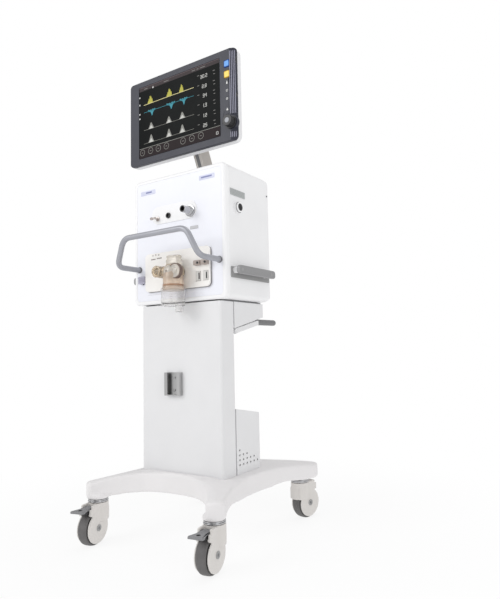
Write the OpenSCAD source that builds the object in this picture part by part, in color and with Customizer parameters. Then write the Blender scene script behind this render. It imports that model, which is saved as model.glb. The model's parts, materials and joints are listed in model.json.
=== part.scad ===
// Mechanical ventilator on a four-caster cart.
// Millimetres, +Z up, the front faces -Y, and the origin is on the floor under the middle.

/* [Cart] */
// Wheel diameter over the tyre
wheel_d = 100; // [90:1:104]
// Width of the tyre's tread
tyre_w = 30; // [26:1:30]
// Distance from the middle to a front caster, across the cart
front_caster_x = 223; // [215:1:235]
// Distance from the middle to a front caster, along the cart
front_caster_y = 224; // [218:1:232]
// Distance from the middle to a rear caster, across the cart
rear_caster_x = 208; // [200:1:225]
// Distance from the middle to a rear caster, along the cart
rear_caster_y = 247; // [240:1:252]
// Distance from a caster's stem back to its axle
caster_trail = 25; // [22:1:26]
// Reach of a brake pedal from its caster's stem
pedal_reach = 96.5; // [90:0.5:104]
// How far the front right caster stands turned about its stem
front_right_yaw = 9; // [-20:1:20]
// How far the front left caster stands turned about its stem
front_left_yaw = 12; // [-20:1:20]
// How far the rear casters stand turned about their stems
rear_yaw = -12; // [-20:1:20]
// Underside of the base casting
base_z = 128; // [128:1:132]
// Crown of the base casting
base_top_z = 206; // [203:1:210]

/* [Column] */
// Width of the column
column_w = 321; // [280:1:330]
// Front face of the column
column_front_y = -104; // [-110:1:-98]
// Rear face of the narrow part of the column
column_rear_y = -36; // [-44:1:-30]
// Rear face of the box at the column's foot
lower_box_rear_y = 84; // [70:1:110]
// Rear face of the gusset under the housing
gusset_rear_y = 120; // [100:1:122]
// Sheet thickness of the column and its boxes
sheet_t = 3; // [2:0.5:4]

/* [Housing] */
// Width of the housing
housing_w = 376; // [376:1:400]
// Underside of the housing
housing_z = 711; // [711:1:715]
// Top of the housing
housing_top_z = 1122; // [1118:1:1126]
// Front face of the housing
housing_front_y = -110; // [-112:1:-108]
// Rear face of the housing
housing_rear_y = 126; // [124:1:130]
// Wall thickness of the housing
housing_t = 3; // [2.5:0.5:4]
// Height of the side rails' middle
rail_z = 797; // [790:1:810]
// Height of a side rail
rail_h = 25; // [20:1:30]

/* [Handle] */
// Diameter of the front handle's tube
handle_d = 17; // [12:1:18]
// Height of the handle's feet
handle_foot_z = 827; // [822:1:830]
// Height of the handle's top bar
handle_top_z = 910; // [905:1:915]

/* [Breathing ports] */
// Outside diameter of the inspiratory port
port_d = 22; // [22:1:22]
// Bore of the inspiratory port
port_bore_d = 15; // [15:1:15]
// Height of the row of ports
port_row_z = 989; // [986:1:992]

/* [Monitor] */
// Width of the monitor
monitor_w = 449; // [440:1:460]
// Bottom edge of the monitor
monitor_z = 1189; // [1186:1:1192]
// Top edge of the monitor
monitor_top_z = 1481; // [1478:1:1490]
// Front face of the monitor
monitor_front_y = -88; // [-90:1:-86]
// Diameter of the rotary knob's grip
encoder_d = 34; // [28:1:36]

/* [Hidden] */

$fn = 48;
broad_fn = 720; // for arcs with a radius far larger than the part
e = 0.5; // overlap that a cut runs past a face

// Running clearances
fit_gap = 0.05; // radial gap of a shaft in its bore
free_gap = 0.4; // gap between faces that pass each other

// Casters
wheel_r = wheel_d / 2;
hub_r = 38;
axle_r = 4;
stem_r = 6;
ring_r = 30; // swivel ring on top of a fork
ring_h = 9;
fork_top_z = base_z - ring_h - free_gap;
cheek_r = 44;
cheek_t = 4.5;
fork_half_w = tyre_w / 2 + 2 + cheek_t;
hood_r = 30;
hood_z = 66; // lower edge of the round hood under a stem
shoulder_w = 72; // fork seen from the side, under the swivel ring
shoulder_h = 20;
flank_w = 76;
pedal_pivot_dy = 36; // from the stem to the pedal's pin
pedal_pivot_z = fork_top_z - 10;
pedal_pin_r = 2.5;
pedal_half_w = 12.5;
front_axle_y = -front_caster_y - caster_trail;
rear_axle_y = rear_caster_y + caster_trail;
stem_pin_z = fork_top_z - 12; // lower end of a stem's pin

// Base casting
base_half_w = 261; // at the feet
base_tip_y = [-259, 306]; // front and rear ends of the feet
base_corner_r = 40;
base_mid_y = [-122, 150]; // middles of the hollowed front and rear edges
end_hollow_r = [245, 204]; // curves of the front and rear edges
base_side_x = 192; // middle of a side
side_hollow_r = 452; // curve of the side edges
crown_y = 20; // the crown sits a little behind the middle
crown_long_r = 1300; // curve of the top from front to rear
crown_cross_r = 1100; // curve of the top from side to side
foot_r = 32;
foot_drop = 5; // the feet stand this far below the rest
arch_y = [-138, 150]; // arches under the body, from side to side
arch_r = 300;
arch_h = 10;
column_foot_z = 190;

// Column
gusset_low_z = 626;
gusset_rear_z = 664;
column_top_z = housing_z - 4;
lower_box_z = 385;
lower_box_rear_z = 363;
vent_r = 3.2;
vent_pitch = [18.5, 14.3]; // y, z
vent_start = [-22, 219]; // y, z of the lowest hole at the front
vent_rows = [6, 5, 3, 1]; // holes in each row, from the lowest up

// Bracket for a humidifier on the column's front
bracket_x = -21;
bracket_z = 462;
bracket_w = 62;
bracket_h = 70;
bracket_depth = 14;
bracket_t = 2;
bracket_lip = 12;
bracket_floor = 3;
bracket_hole_pitch = 38;
bracket_hole_r = 2.5;

// Dock lever
lever_x = 149;
lever_w = 18;
lever_pivot = [-22, 619]; // y, z
lever_tip = [98, 648];
grip_r = 9.5;
grip_end_y = 208;

// Housing
frame_depth = 20;
shell_y = housing_front_y + frame_depth;
housing_mid_z = (housing_z + housing_top_z) / 2;
housing_h = housing_top_z - housing_z;
panel_w = housing_w - 26;
panel_h = housing_h - 25;
panel_front_y = housing_front_y + 1;
rear_cover_size = [300, 340];
gas_inlet_x = [70, 110];
gas_inlet_r = 7;
power_inlet_x = -90;
power_inlet_size = [28, 21];
inlet_z = 800;
knob_pos = [-52, 990]; // y, z
knob_ring_x = housing_w / 2 + 9; // outer face of the ring around the side knob
knob_shaft_r = 6;
module_pos = [1, 812]; // x, z
module_size = [264, 122];
module_front_y = housing_front_y - 9;
sensor_places = [90.5, 119];
sensor_size = [18, 28];
sensor_z = 783.5;
clip_size = [24, 15];
clip_z = 823;
latch_pos = [-149, 792]; // x, z
latch_size = [29, 24];
latch_travel = 8;
port_x = 57;
port_tip_y = -150;
socket_x = -35;
socket_r = 7;
nipple_x = -80;
nipple_z = port_row_z - 5;
nipple_r = 3;
nipple_tip_y = -132;
valve_x = 19;
valve_y = -152;
valve_z = 802;
spigot_r = 17;
valve_port = [valve_x - 53, valve_z + 2]; // x, z of the expiratory port
valve_port_r = 11;
disc_pos = [valve_x + 25, valve_z - 3]; // x, z
disc_r = 23;
valve_neck_r = 30;
trap_r = 36;
trap_z = 696;
trap_top_z = 750;
trap_t = 2;
nub_x = valve_x + 24;
nub_r = 11;
nub_z = 677;

// Side rails
rail_x = housing_w / 2 + 20;
rail_t = 10;
rail_y = [-86, 112];

// Front handle, right half, from the foot to the middle of the top bar
handle_foot_x = 164.5;
handle_r = handle_d / 2;
handle_corners = [
    [handle_foot_x, panel_front_y - 0.6, handle_foot_z],
    [handle_foot_x, -203, handle_foot_z],
    [126, -214, handle_top_z],
    [0, -214, handle_top_z]
];
handle_bend = 24; // how far from a corner its bend starts
bend_steps = 5;
collar_r = handle_r + 1.5;

// Monitor
monitor_x = -5.5;
monitor_side_x = 198; // where the bezel's right end starts to fall away
monitor_mid_z = (monitor_z + monitor_top_z) / 2;
monitor_h = monitor_top_z - monitor_z;
bezel_t = 12;
bezel_back_y = monitor_front_y + bezel_t;
monitor_back_y = monitor_front_y + 46;
screen_x = -15;
screen_size = [348, 250];
screen_mid_z = monitor_z + 147;
key_x = 187;
key_size = [20, 22];
blue_key_z = monitor_z + 245;
amber_key_z = monitor_z + 211;
encoder_x = 200;
encoder_z = monitor_z + 55;
encoder_boss_r = 23; // round land around the knob
swivel_y = 50;
tilt_pivot = [-6, 1258]; // y, z
tilt_pin_r = 5;
neck_w = 30;
neck_d = 56;
neck_foot_z = housing_top_z + 10;
neck_run = tilt_pivot[0] - swivel_y;
neck_rise = tilt_pivot[1] - neck_foot_z;
neck_lean = atan2(-neck_run, neck_rise);
tilt_ear_x = neck_w / 2 + free_gap;
tilt_ear_t = 6;
bracket_plate_z = tilt_pivot[1] + 20; // middle of the plate behind the monitor
bracket_pattern = 100; // spacing of its four screw holes

// ---- helpers ----

// Rectangle with round corners, made of plain squares and circles
module rounded_rect(w, h, r) {
    square([w - 2 * r, h], center = true);
    square([w, h - 2 * r], center = true);
    for (sx = [-1, 1], sy = [-1, 1])
        translate([sx * (w / 2 - r), sy * (h / 2 - r)])
            circle(r);
}

// Upright slab that faces the front, from y0 to y1
module front_slab(w, h, r, y0, y1, x, z) {
    translate([x, y1, z])
        rotate([90, 0, 0])
            linear_extrude(y1 - y0)
                rounded_rect(w, h, r);
}

// Outline in Y and Z, carried across from x0 to x1
module side_slab(x0, x1) {
    translate([x0, 0, 0])
        rotate([90, 0, 90])
            linear_extrude(x1 - x0)
                children();
}

module x_rod(r, x0, x1, y, z) {
    translate([x0, y, z])
        rotate([0, 90, 0])
            cylinder(r = r, h = x1 - x0);
}

module y_rod(r, y0, y1, x, z) {
    translate([x, y1, z])
        rotate([90, 0, 0])
            cylinder(r = r, h = y1 - y0);
}

module box(low, high) {
    translate(low)
        cube(high - low);
}

// Both halves of something that is drawn on the right
module both_sides() {
    children();
    mirror([1, 0, 0])
        children();
}

// ---- cart ----

module stem_places() {
    for (sx = [-1, 1]) {
        translate([sx * front_caster_x, -front_caster_y, 0])
            children();
        translate([sx * rear_caster_x, rear_caster_y, 0])
            children();
    }
}

// Plan of the casting: a plate with round corners and four sides hollowed between the feet
module base_plan() {
    $fn = broad_fn;
    difference() {
        translate([0, (base_tip_y[0] + base_tip_y[1]) / 2])
            rounded_rect(2 * base_half_w, base_tip_y[1] - base_tip_y[0], base_corner_r);
        translate([0, base_mid_y[0] - end_hollow_r[0]])
            circle(end_hollow_r[0]);
        translate([0, base_mid_y[1] + end_hollow_r[1]])
            circle(end_hollow_r[1]);
        for (sx = [-1, 1])
            translate([sx * (base_side_x + side_hollow_r), (rear_caster_y - front_caster_y) / 2])
                circle(side_hollow_r);
    }
}

// Shallow dome that shapes the top: two crossing barrels
module crown() {
    $fn = broad_fn;
    intersection() {
        x_rod(crown_long_r, -400, 400, crown_y, base_top_z - crown_long_r);
        y_rod(crown_cross_r, -400, 400, 0, base_top_z - crown_cross_r);
    }
}

module base_casting() {
    color("whitesmoke")
        difference() {
            union() {
                intersection() {
                    translate([0, 0, base_z + foot_drop])
                        linear_extrude(base_top_z - base_z)
                            base_plan();
                    crown();
                }
                stem_places()
                    translate([0, 0, base_z])
                        cylinder(r = foot_r, h = foot_drop + 10);
            }
            // seat of the column and of the box behind it
            box([-column_w / 2, column_front_y, column_foot_z],
                [column_w / 2, lower_box_rear_y, base_top_z + e]);
            for (y = arch_y)
                x_rod(arch_r, -330, 330, y, base_z + arch_h - arch_r, $fn = broad_fn);
            stem_places()
                translate([0, 0, base_z - e])
                    cylinder(r = stem_r, h = 22 + e);
        }
}

module caster_stems() {
    color("silver")
        stem_places() {
            translate([0, 0, base_z - ring_h])
                cylinder(r = ring_r, h = ring_h);
            translate([0, 0, stem_pin_z])
                cylinder(r = stem_r, h = base_z + 20 - stem_pin_z);
        }
}

module column_shell() {
    w = column_w - 2 * sheet_t;
    depth = column_rear_y - column_front_y;
    color("white")
        translate([0, (column_front_y + column_rear_y) / 2, column_foot_z])
            difference() {
                linear_extrude(column_top_z - column_foot_z)
                    rounded_rect(column_w, depth, 9);
                translate([0, 0, -e])
                    linear_extrude(column_top_z - column_foot_z + 2 * e)
                        rounded_rect(w, depth - 2 * sheet_t, 6);
            }
}

module gusset_outline(t) {
    polygon([
        [column_rear_y + t, gusset_low_z + 1.1 * t],
        [gusset_rear_y - t, gusset_rear_z + 0.9 * t],
        [gusset_rear_y - t, column_top_z - t],
        [column_rear_y + t, column_top_z - t]
    ]);
}

module column_gusset() {
    ear_x = lever_x - lever_w / 2 - free_gap;
    color("white") {
        difference() {
            side_slab(-column_w / 2, column_w / 2)
                gusset_outline(0);
            side_slab(-column_w / 2 + sheet_t, column_w / 2 - sheet_t)
                gusset_outline(sheet_t);
        }
        // ear and stud that carry the docking lever
        box([ear_x - 6, column_rear_y, lever_pivot[1] - 7], [ear_x, lever_pivot[0] + 7, lever_pivot[1] + 9]);
        x_rod(3, ear_x - 3, lever_x + lever_w / 2 - 1, lever_pivot[0], lever_pivot[1]);
    }
}

module lower_box_outline(t) {
    polygon([
        [column_rear_y + t, column_foot_z + t],
        [lower_box_rear_y - t, column_foot_z + t],
        [lower_box_rear_y - t, lower_box_rear_z - t],
        [column_rear_y + t, lower_box_z - t]
    ]);
}

// Rows of vent holes, right through both sides
module vent_holes() {
    for (row = [0 : len(vent_rows) - 1])
        for (i = [0 : vent_rows[row] - 1])
            x_rod(vent_r, -column_w / 2 - e, column_w / 2 + e,
                vent_start[0] + vent_pitch[0] * i, vent_start[1] + vent_pitch[1] * row);
}

module lower_box() {
    color("whitesmoke")
        difference() {
            side_slab(-column_w / 2, column_w / 2)
                lower_box_outline(0);
            side_slab(-column_w / 2 + sheet_t, column_w / 2 - sheet_t)
                lower_box_outline(sheet_t);
            vent_holes();
        }
}

module humidifier_bracket() {
    front_y = column_front_y - bracket_depth;
    x0 = bracket_x - bracket_w / 2;
    x1 = bracket_x + bracket_w / 2;
    z0 = bracket_z - bracket_h / 2;
    z1 = bracket_z + bracket_h / 2;
    color("silver")
        difference() {
            box([x0, front_y, z0], [x1, column_front_y, z1]);
            box([x0 + bracket_t, front_y + bracket_t, z0 + bracket_floor],
                [x1 - bracket_t, column_front_y - bracket_t, z1 + e]);
            box([x0 + bracket_lip, front_y - e, z0 + bracket_floor],
                [x1 - bracket_lip, front_y + bracket_t + e, z1 + e]);
            for (sz = [-1, 1])
                y_rod(bracket_hole_r, column_front_y - bracket_t - e, column_front_y + e,
                    bracket_x, bracket_z + sz * bracket_hole_pitch / 2);
        }
}

module bracket_screws() {
    back_y = column_front_y - bracket_t;
    color("gray")
        for (sz = [-1, 1]) {
            z = bracket_z + sz * bracket_hole_pitch / 2;
            y_rod(4.5, back_y - 2.5, back_y, bracket_x, z);
            y_rod(bracket_hole_r - fit_gap, back_y, column_front_y, bracket_x, z);
        }
}

module docking_plate() {
    color("dimgray")
        box([-column_w / 2 + 4, column_front_y + 14, column_top_z],
            [column_w / 2 - 4, gusset_rear_y - 6, housing_z]);
}

// ---- casters ----

// Turns a caster about its stem
module turned(x, y, yaw) {
    translate([x, y, 0])
        rotate([0, 0, yaw])
            translate([-x, -y, 0])
                children();
}

module front_right() {
    turned(front_caster_x, -front_caster_y, front_right_yaw)
        children();
}

module front_left() {
    turned(-front_caster_x, -front_caster_y, front_left_yaw)
        children();
}

module rear_right() {
    turned(rear_caster_x, rear_caster_y, rear_yaw)
        children();
}

module rear_left() {
    turned(-rear_caster_x, rear_caster_y, rear_yaw)
        children();
}

// Side outline of a fork: a round cheek that runs up into the hood; back is the stem's side
module fork_outline(back) {
    top = fork_top_z - wheel_r;
    circle(cheek_r);
    translate([back * 2, top - shoulder_h])
        square([shoulder_w, shoulder_h], center = true);
    translate([back * 12, top / 2 + 8])
        square([flank_w, top - 16], center = true);
}

// back is +1 where the wheel trails to the front of its stem, and -1 where it trails behind
module fork(x, y, back, has_pedal) {
    axle_y = y - back * caster_trail;
    color("linen")
        difference() {
            union() {
                intersection() {
                    side_slab(x - fork_half_w, x + fork_half_w)
                        translate([axle_y, wheel_r])
                            fork_outline(back);
                    translate([x, axle_y, wheel_r])
                        sphere(r = 75, $fn = 96);
                    box([x - 40, axle_y - 60, 0], [x + 40, axle_y + 60, fork_top_z]);
                }
                translate([x, y, hood_z])
                    cylinder(r = hood_r, h = fork_top_z - hood_z);
            }
            x_rod(wheel_r + 2.5, x - tyre_w / 2 - 2, x + tyre_w / 2 + 2, axle_y, wheel_r);
            translate([x, y, stem_pin_z - 1])
                cylinder(r = stem_r + fit_gap, h = 30);
            if (has_pedal) {
                pin_y = y - pedal_pivot_dy;
                box([x - pedal_half_w - 2, axle_y - 50, pedal_pivot_z - 12],
                    [x + pedal_half_w + 2, pin_y + 9, fork_top_z + e]);
                // the brake shoe's way down to the tyre
                box([x - pedal_half_w, pin_y - 30, pedal_pivot_z - 24],
                    [x + pedal_half_w, pin_y - 11, pedal_pivot_z]);
            }
        }
    color("gray") {
        x_rod(axle_r, x - fork_half_w + 1, x + fork_half_w - 1, axle_y, wheel_r);
        for (sx = [-1, 1])
            translate([x + sx * (fork_half_w + 0.5), axle_y, wheel_r])
                rotate([0, 90, 0])
                    cylinder(r = 9, h = 3, center = true);
    }
}

module tyre(x, axle_y) {
    color("dimgray")
        translate([x, axle_y, wheel_r])
            rotate([0, 90, 0])
                rotate_extrude($fn = 96)
                    translate([(wheel_r + hub_r) / 2, 0])
                        rounded_rect(wheel_r - hub_r, tyre_w, 5);
}

module hub(x, axle_y) {
    color("lightgray")
        translate([x, axle_y, wheel_r])
            rotate([0, 90, 0])
                difference() {
                    union() {
                        cylinder(r = hub_r, h = tyre_w - 8, center = true);
                        cylinder(r = 11, h = tyre_w + 2, center = true);
                    }
                    for (sz = [-1, 1])
                        translate([0, 0, sz * (tyre_w / 2 - 2)])
                            difference() {
                                cylinder(r = hub_r - 5, h = 12, center = true);
                                cylinder(r = 11, h = 13, center = true);
                            }
                    cylinder(r = axle_r + fit_gap, h = tyre_w + 6, center = true);
                }
}

module pedal(x, y) {
    pin_y = y - pedal_pivot_dy;
    color("gray")
        difference() {
            union() {
                x_rod(5, x - pedal_half_w, x + pedal_half_w, pin_y, pedal_pivot_z);
                translate([x, 0, pedal_pivot_z - 2])
                    linear_extrude(6)
                        polygon([
                            [-pedal_half_w, pin_y], [pedal_half_w, pin_y], [14, pin_y - 30],
                            [23, y - pedal_reach + 6], [21, y - pedal_reach],
                            [-21, y - pedal_reach], [-23, y - pedal_reach + 6], [-14, pin_y - 30]
                        ]);
                box([x - 11, pin_y - 26, pedal_pivot_z - 12], [x + 11, pin_y - 15, pedal_pivot_z]);
            }
            translate([x, pin_y - 44, pedal_pivot_z - 10])
                cylinder(r = 4, h = 30);
            x_rod(pedal_pin_r + fit_gap, x - 18, x + 18, pin_y, pedal_pivot_z);
        }
}

module pedal_pin(x, y) {
    color("gray")
        x_rod(pedal_pin_r, x - 17, x + 17, y - pedal_pivot_dy, pedal_pivot_z);
}

module front_fork(sx) {
    fork(sx * front_caster_x, -front_caster_y, 1, true);
    pedal_pin(sx * front_caster_x, -front_caster_y);
}

// ---- docking lever under the gusset ----

module dock_lever_arm() {
    color("white")
        difference() {
            side_slab(lever_x - lever_w / 2, lever_x + lever_w / 2)
                union() {
                    translate(lever_pivot)
                        circle(8);
                    polygon([
                        lever_pivot + [-2, -8], [lever_tip[0], lever_tip[1] - 9.5],
                        [lever_tip[0], lever_tip[1] + 6], lever_pivot + [-2, 7.5]
                    ]);
                }
            x_rod(3 + fit_gap, lever_x - 20, lever_x + 20, lever_pivot[0], lever_pivot[1]);
        }
}

module dock_lever_grip() {
    color("dimgray") {
        y_rod(grip_r, lever_tip[0], grip_end_y - grip_r, lever_x, lever_tip[1]);
        translate([lever_x, grip_end_y - grip_r, lever_tip[1]])
            rotate([90, 0, 0])
                rotate_extrude()
                    intersection() {
                        circle(grip_r);
                        translate([0, -grip_r])
                            square([grip_r, 2 * grip_r]);
                    }
    }
}

// ---- housing ----

// Rounded box of the housing between y0 and y1, shrunk by t on every side
module housing_block(t, y0, y1) {
    intersection() {
        front_slab(housing_w - 2 - 2 * t, housing_h - 2 - 2 * t, 15 - t, y0, y1, 0, housing_mid_z);
        side_slab(-housing_w / 2, housing_w / 2)
            translate([0, housing_mid_z])
                union() {
                    translate([(y0 + y1 - 22) / 2, 0])
                        square([y1 - y0 - 22, housing_h], center = true);
                    translate([y1 - 60, 0])
                        rounded_rect(120, housing_h - 2 - 2 * t, 22 - t);
                }
    }
}

module housing_shell() {
    color("whitesmoke")
        difference() {
            union() {
                housing_block(0, shell_y, housing_rear_y);
                // raised ring around the side knob
                x_rod(17.5, housing_w / 2 - 4, knob_ring_x, knob_pos[0], knob_pos[1]);
            }
            housing_block(housing_t, shell_y - 20, housing_rear_y - housing_t);
            front_slab(rear_cover_size[0], rear_cover_size[1], 10, housing_rear_y - 8, housing_rear_y + e,
                0, housing_mid_z);
            x_rod(knob_shaft_r + fit_gap, housing_w / 2 - 8, knob_ring_x + e, knob_pos[0], knob_pos[1]);
            translate([0, swivel_y, housing_top_z - 20])
                cylinder(r = 15, h = 30);
        }
}

// Upright slab on the axis of the power inlet
module power_slab(w, h, r, y0, y1) {
    front_slab(w, h, r, y0, y1, power_inlet_x, inlet_z);
}

module rear_panel() {
    y0 = housing_rear_y - 10;
    y1 = housing_rear_y + 10;
    color("whitesmoke")
        difference() {
            front_slab(rear_cover_size[0], rear_cover_size[1], 10, housing_rear_y - 4, housing_rear_y - 1,
                0, housing_mid_z);
            for (x = gas_inlet_x)
                y_rod(gas_inlet_r, y0, y1, x, inlet_z);
            power_slab(power_inlet_size[0], power_inlet_size[1], 2, y0, y1);
            for (i = [0 : 7])
                front_slab(90, 5, 2.4, y0, y1, 0, 960 + 12 * i);
        }
}

module gas_inlets() {
    color("silver")
        for (x = gas_inlet_x)
            difference() {
                union() {
                    y_rod(gas_inlet_r, housing_rear_y - 24, housing_rear_y + 22, x, inlet_z);
                    y_rod(gas_inlet_r + 4, housing_rear_y - 1, housing_rear_y + 5, x, inlet_z);
                }
                y_rod(gas_inlet_r - 3, housing_rear_y - 25, housing_rear_y + 23, x, inlet_z);
            }
}

module power_inlet() {
    color("dimgray")
        difference() {
            union() {
                power_slab(power_inlet_size[0], power_inlet_size[1], 2,
                    housing_rear_y - 26, housing_rear_y - 1);
                power_slab(50, 30, 4, housing_rear_y - 1, housing_rear_y + 2);
            }
            power_slab(power_inlet_size[0] - 4, power_inlet_size[1] - 4, 2,
                housing_rear_y - 18, housing_rear_y + 3);
        }
    color("silver")
        for (i = [-1 : 1])
            translate([power_inlet_x + 7 * i, housing_rear_y - 16, inlet_z + 2 * (1 - abs(i))])
                cube([2, 8, 4], center = true);
}

// Everything that passes through the front: the ports, the valve's spigot and the latch's tongue
module front_holes() {
    port_holes();
    latch_slot();
    y_rod(spigot_r + 4, housing_front_y - 20, housing_front_y + 20, valve_x, valve_z);
}

module port_holes() {
    y0 = housing_front_y - 20;
    y1 = housing_front_y + 20;
    y_rod(port_d / 2, y0, y1, port_x, port_row_z);
    y_rod(socket_r, y0, y1, socket_x, port_row_z);
    y_rod(nipple_r, y0, y1, nipple_x, nipple_z);
}

// Slot that the latch's tongue travels in
module latch_slot() {
    front_slab(7, 12 + latch_travel + 1.6, 1, housing_front_y - 5, housing_front_y + 20,
        latch_pos[0], latch_pos[1] - latch_travel / 2);
}

module front_frame() {
    color("white")
        difference() {
            front_slab(housing_w, housing_h, 16, housing_front_y, shell_y, 0, housing_mid_z);
            front_slab(panel_w, panel_h, 10, housing_front_y - e, housing_front_y + 3, 0, housing_mid_z);
            front_slab(housing_w - 8, housing_h - 8, 12, housing_front_y + 6, shell_y + e, 0, housing_mid_z);
            front_holes();
        }
}

module front_panel() {
    color("aliceblue")
        difference() {
            front_slab(panel_w, panel_h, 10, panel_front_y, housing_front_y + 3, 0, housing_mid_z);
            front_holes();
        }
}

module port_panel() {
    color("white")
        difference() {
            front_slab(187, 58, 28.9, panel_front_y - 2.5, panel_front_y, -14, port_row_z + 7);
            port_holes();
        }
}

module inspiratory_port() {
    color("silver")
        difference() {
            union() {
                y_rod(port_d / 2, port_tip_y, housing_front_y + 16, port_x, port_row_z);
                y_rod(18, panel_front_y - 8.5, panel_front_y - 2.5, port_x, port_row_z);
                y_rod(14, panel_front_y - 14, panel_front_y - 8.5, port_x, port_row_z);
            }
            y_rod(port_bore_d / 2, port_tip_y - e, housing_front_y + 16 + e, port_x, port_row_z);
        }
}

// Small gas outlet that bends to the left
module nebuliser_nipple() {
    elbow_y = nipple_tip_y + nipple_r + 1;
    end_x = nipple_x - 16;
    elbow_r = nipple_r + 0.5;
    color("rosybrown")
        difference() {
            union() {
                y_rod(nipple_r, elbow_y, housing_front_y + 12, nipple_x, nipple_z);
                y_rod(7, panel_front_y - 5.5, panel_front_y - 2.5, nipple_x, nipple_z);
                x_rod(elbow_r, end_x, nipple_x + elbow_r + 0.5, elbow_y, nipple_z);
                // barbs
                for (x = [end_x, end_x + 5])
                    x_rod(elbow_r + 1, x, x + 2, elbow_y, nipple_z);
            }
            y_rod(1.6, elbow_y, housing_front_y + 13, nipple_x, nipple_z);
            x_rod(1.4, end_x - e, nipple_x, elbow_y, nipple_z);
        }
}

module sensor_socket() {
    color("dimgray")
        difference() {
            union() {
                y_rod(socket_r, panel_front_y - 2.5, housing_front_y + 14, socket_x, port_row_z);
                y_rod(socket_r + 2, panel_front_y - 6.5, panel_front_y - 2.5, socket_x, port_row_z);
            }
            y_rod(5.5, panel_front_y - 7, housing_front_y, socket_x, port_row_z);
            for (dx = [-3, 3])
                y_rod(0.8, housing_front_y - 2, housing_front_y + 10, socket_x + dx, port_row_z);
        }
}

module module_housing() {
    color("linen")
        difference() {
            front_slab(module_size[0], module_size[1], 14, module_front_y, panel_front_y,
                module_pos[0], module_pos[1]);
            y_rod(spigot_r + free_gap, module_front_y - e, panel_front_y + e, valve_x, valve_z);
            for (x = sensor_places)
                sensor_slab(sensor_size[0], sensor_size[1], 1.5, module_front_y - e, module_front_y + 9, x);
        }
}

module sensor_slab(w, h, r, y0, y1, x) {
    front_slab(w, h, r, y0, y1, x, sensor_z);
}

module flow_sensor_sockets() {
    color("lightgray")
        for (x = sensor_places) {
            difference() {
                sensor_slab(sensor_size[0], sensor_size[1], 1.5, module_front_y - 2, module_front_y + 9, x);
                sensor_slab(5, sensor_size[1] - 8, 1, module_front_y - 3, module_front_y + 6, x + 4);
            }
            // thumb clip above the socket
            front_slab(clip_size[0], clip_size[1], 3, module_front_y - 12, module_front_y, x + 1, clip_z);
        }
}

// Rounded corner of the handle: a quadratic bend between two straights
function bend(before, corner, after, t) =
    (1 - t) * (1 - t) * (corner + handle_bend * unit(before - corner))
    + 2 * t * (1 - t) * corner
    + t * t * (corner + handle_bend * unit(after - corner));
function unit(v) = v / norm(v);

handle_half = concat(
    [handle_corners[0]],
    [for (i = [0 : bend_steps])
        bend(handle_corners[0], handle_corners[1], handle_corners[2], i / bend_steps)],
    [for (i = [0 : bend_steps])
        bend(handle_corners[1], handle_corners[2], handle_corners[3], i / bend_steps)]
);
handle_path = concat(
    handle_half,
    [for (i = [len(handle_half) - 1 : -1 : 0]) [-handle_half[i][0], handle_half[i][1], handle_half[i][2]]]
);

// Tube swept along a path; rings keep one side towards the reference direction
module swept_tube(path, r, sides, reference) {
    n = len(path);
    tangents = [for (i = [0 : n - 1]) unit(path[min(i + 1, n - 1)] - path[max(i - 1, 0)])];
    points = [
        for (i = [0 : n - 1])
            let (side = unit(cross(tangents[i], reference)), up = cross(side, tangents[i]))
                for (k = [0 : sides - 1])
                    path[i] + r * (cos(360 * k / sides) * side + sin(360 * k / sides) * up)
    ];
    walls = [
        for (i = [0 : n - 2], k = [0 : sides - 1])
            let (a = i * sides + k, b = i * sides + (k + 1) % sides)
                [a, b, b + sides, a + sides]
    ];
    start = [for (k = [0 : sides - 1]) sides - 1 - k];
    finish = [for (k = [0 : sides - 1]) (n - 1) * sides + k];
    polyhedron(points, concat([start], walls, [finish]), convexity = 8);
}

module front_handle() {
    color("lightslategray")
        swept_tube(handle_path, handle_r, 16, [0.05, -0.4, -1]);
}

module handle_feet() {
    color("dimgray")
        both_sides()
            difference() {
                y_rod(collar_r, housing_front_y - 4, panel_front_y, handle_foot_x, handle_foot_z);
                y_rod(handle_r + 0.3, housing_front_y - 5, panel_front_y + e, handle_foot_x, handle_foot_z);
            }
}

module side_rails() {
    color("gray")
        both_sides()
            side_slab(rail_x, rail_x + rail_t)
                translate([(rail_y[0] + rail_y[1]) / 2, rail_z])
                    rounded_rect(rail_y[1] - rail_y[0], rail_h, 10);
}

module rail_spacers() {
    color("white")
        both_sides()
            for (y = [rail_y[0] + 18, rail_y[1] - 22])
                x_rod(9, housing_w / 2 - 1, rail_x, y, rail_z);
}

// Flat round cap, turned with a coin
module side_knob() {
    cap_x = knob_ring_x + free_gap;
    cap_t = 4.5;
    slot_w = 3;
    color("dimgray") {
        difference() {
            x_rod(14.5, cap_x, cap_x + cap_t, knob_pos[0], knob_pos[1]);
            box([cap_x + cap_t - 1.5, knob_pos[0] - slot_w / 2, knob_pos[1] - 10],
                [cap_x + cap_t + e, knob_pos[0] + slot_w / 2, knob_pos[1] + 10]);
        }
        x_rod(knob_shaft_r, housing_w / 2 - 6, cap_x, knob_pos[0], knob_pos[1]);
    }
}

module module_latch() {
    color("lightsteelblue") {
        difference() {
            front_slab(latch_size[0], latch_size[1], 3, module_front_y, panel_front_y - free_gap,
                latch_pos[0], latch_pos[1]);
            for (i = [-1 : 1])
                front_slab(latch_size[0] + 2, 1.6, 0.7, module_front_y - 1, module_front_y + 1.5,
                    latch_pos[0], latch_pos[1] + 5 * i);
        }
        // tongue through the panel
        front_slab(6, 12, 1, panel_front_y - 1, housing_front_y + 12, latch_pos[0], latch_pos[1]);
    }
}

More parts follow.
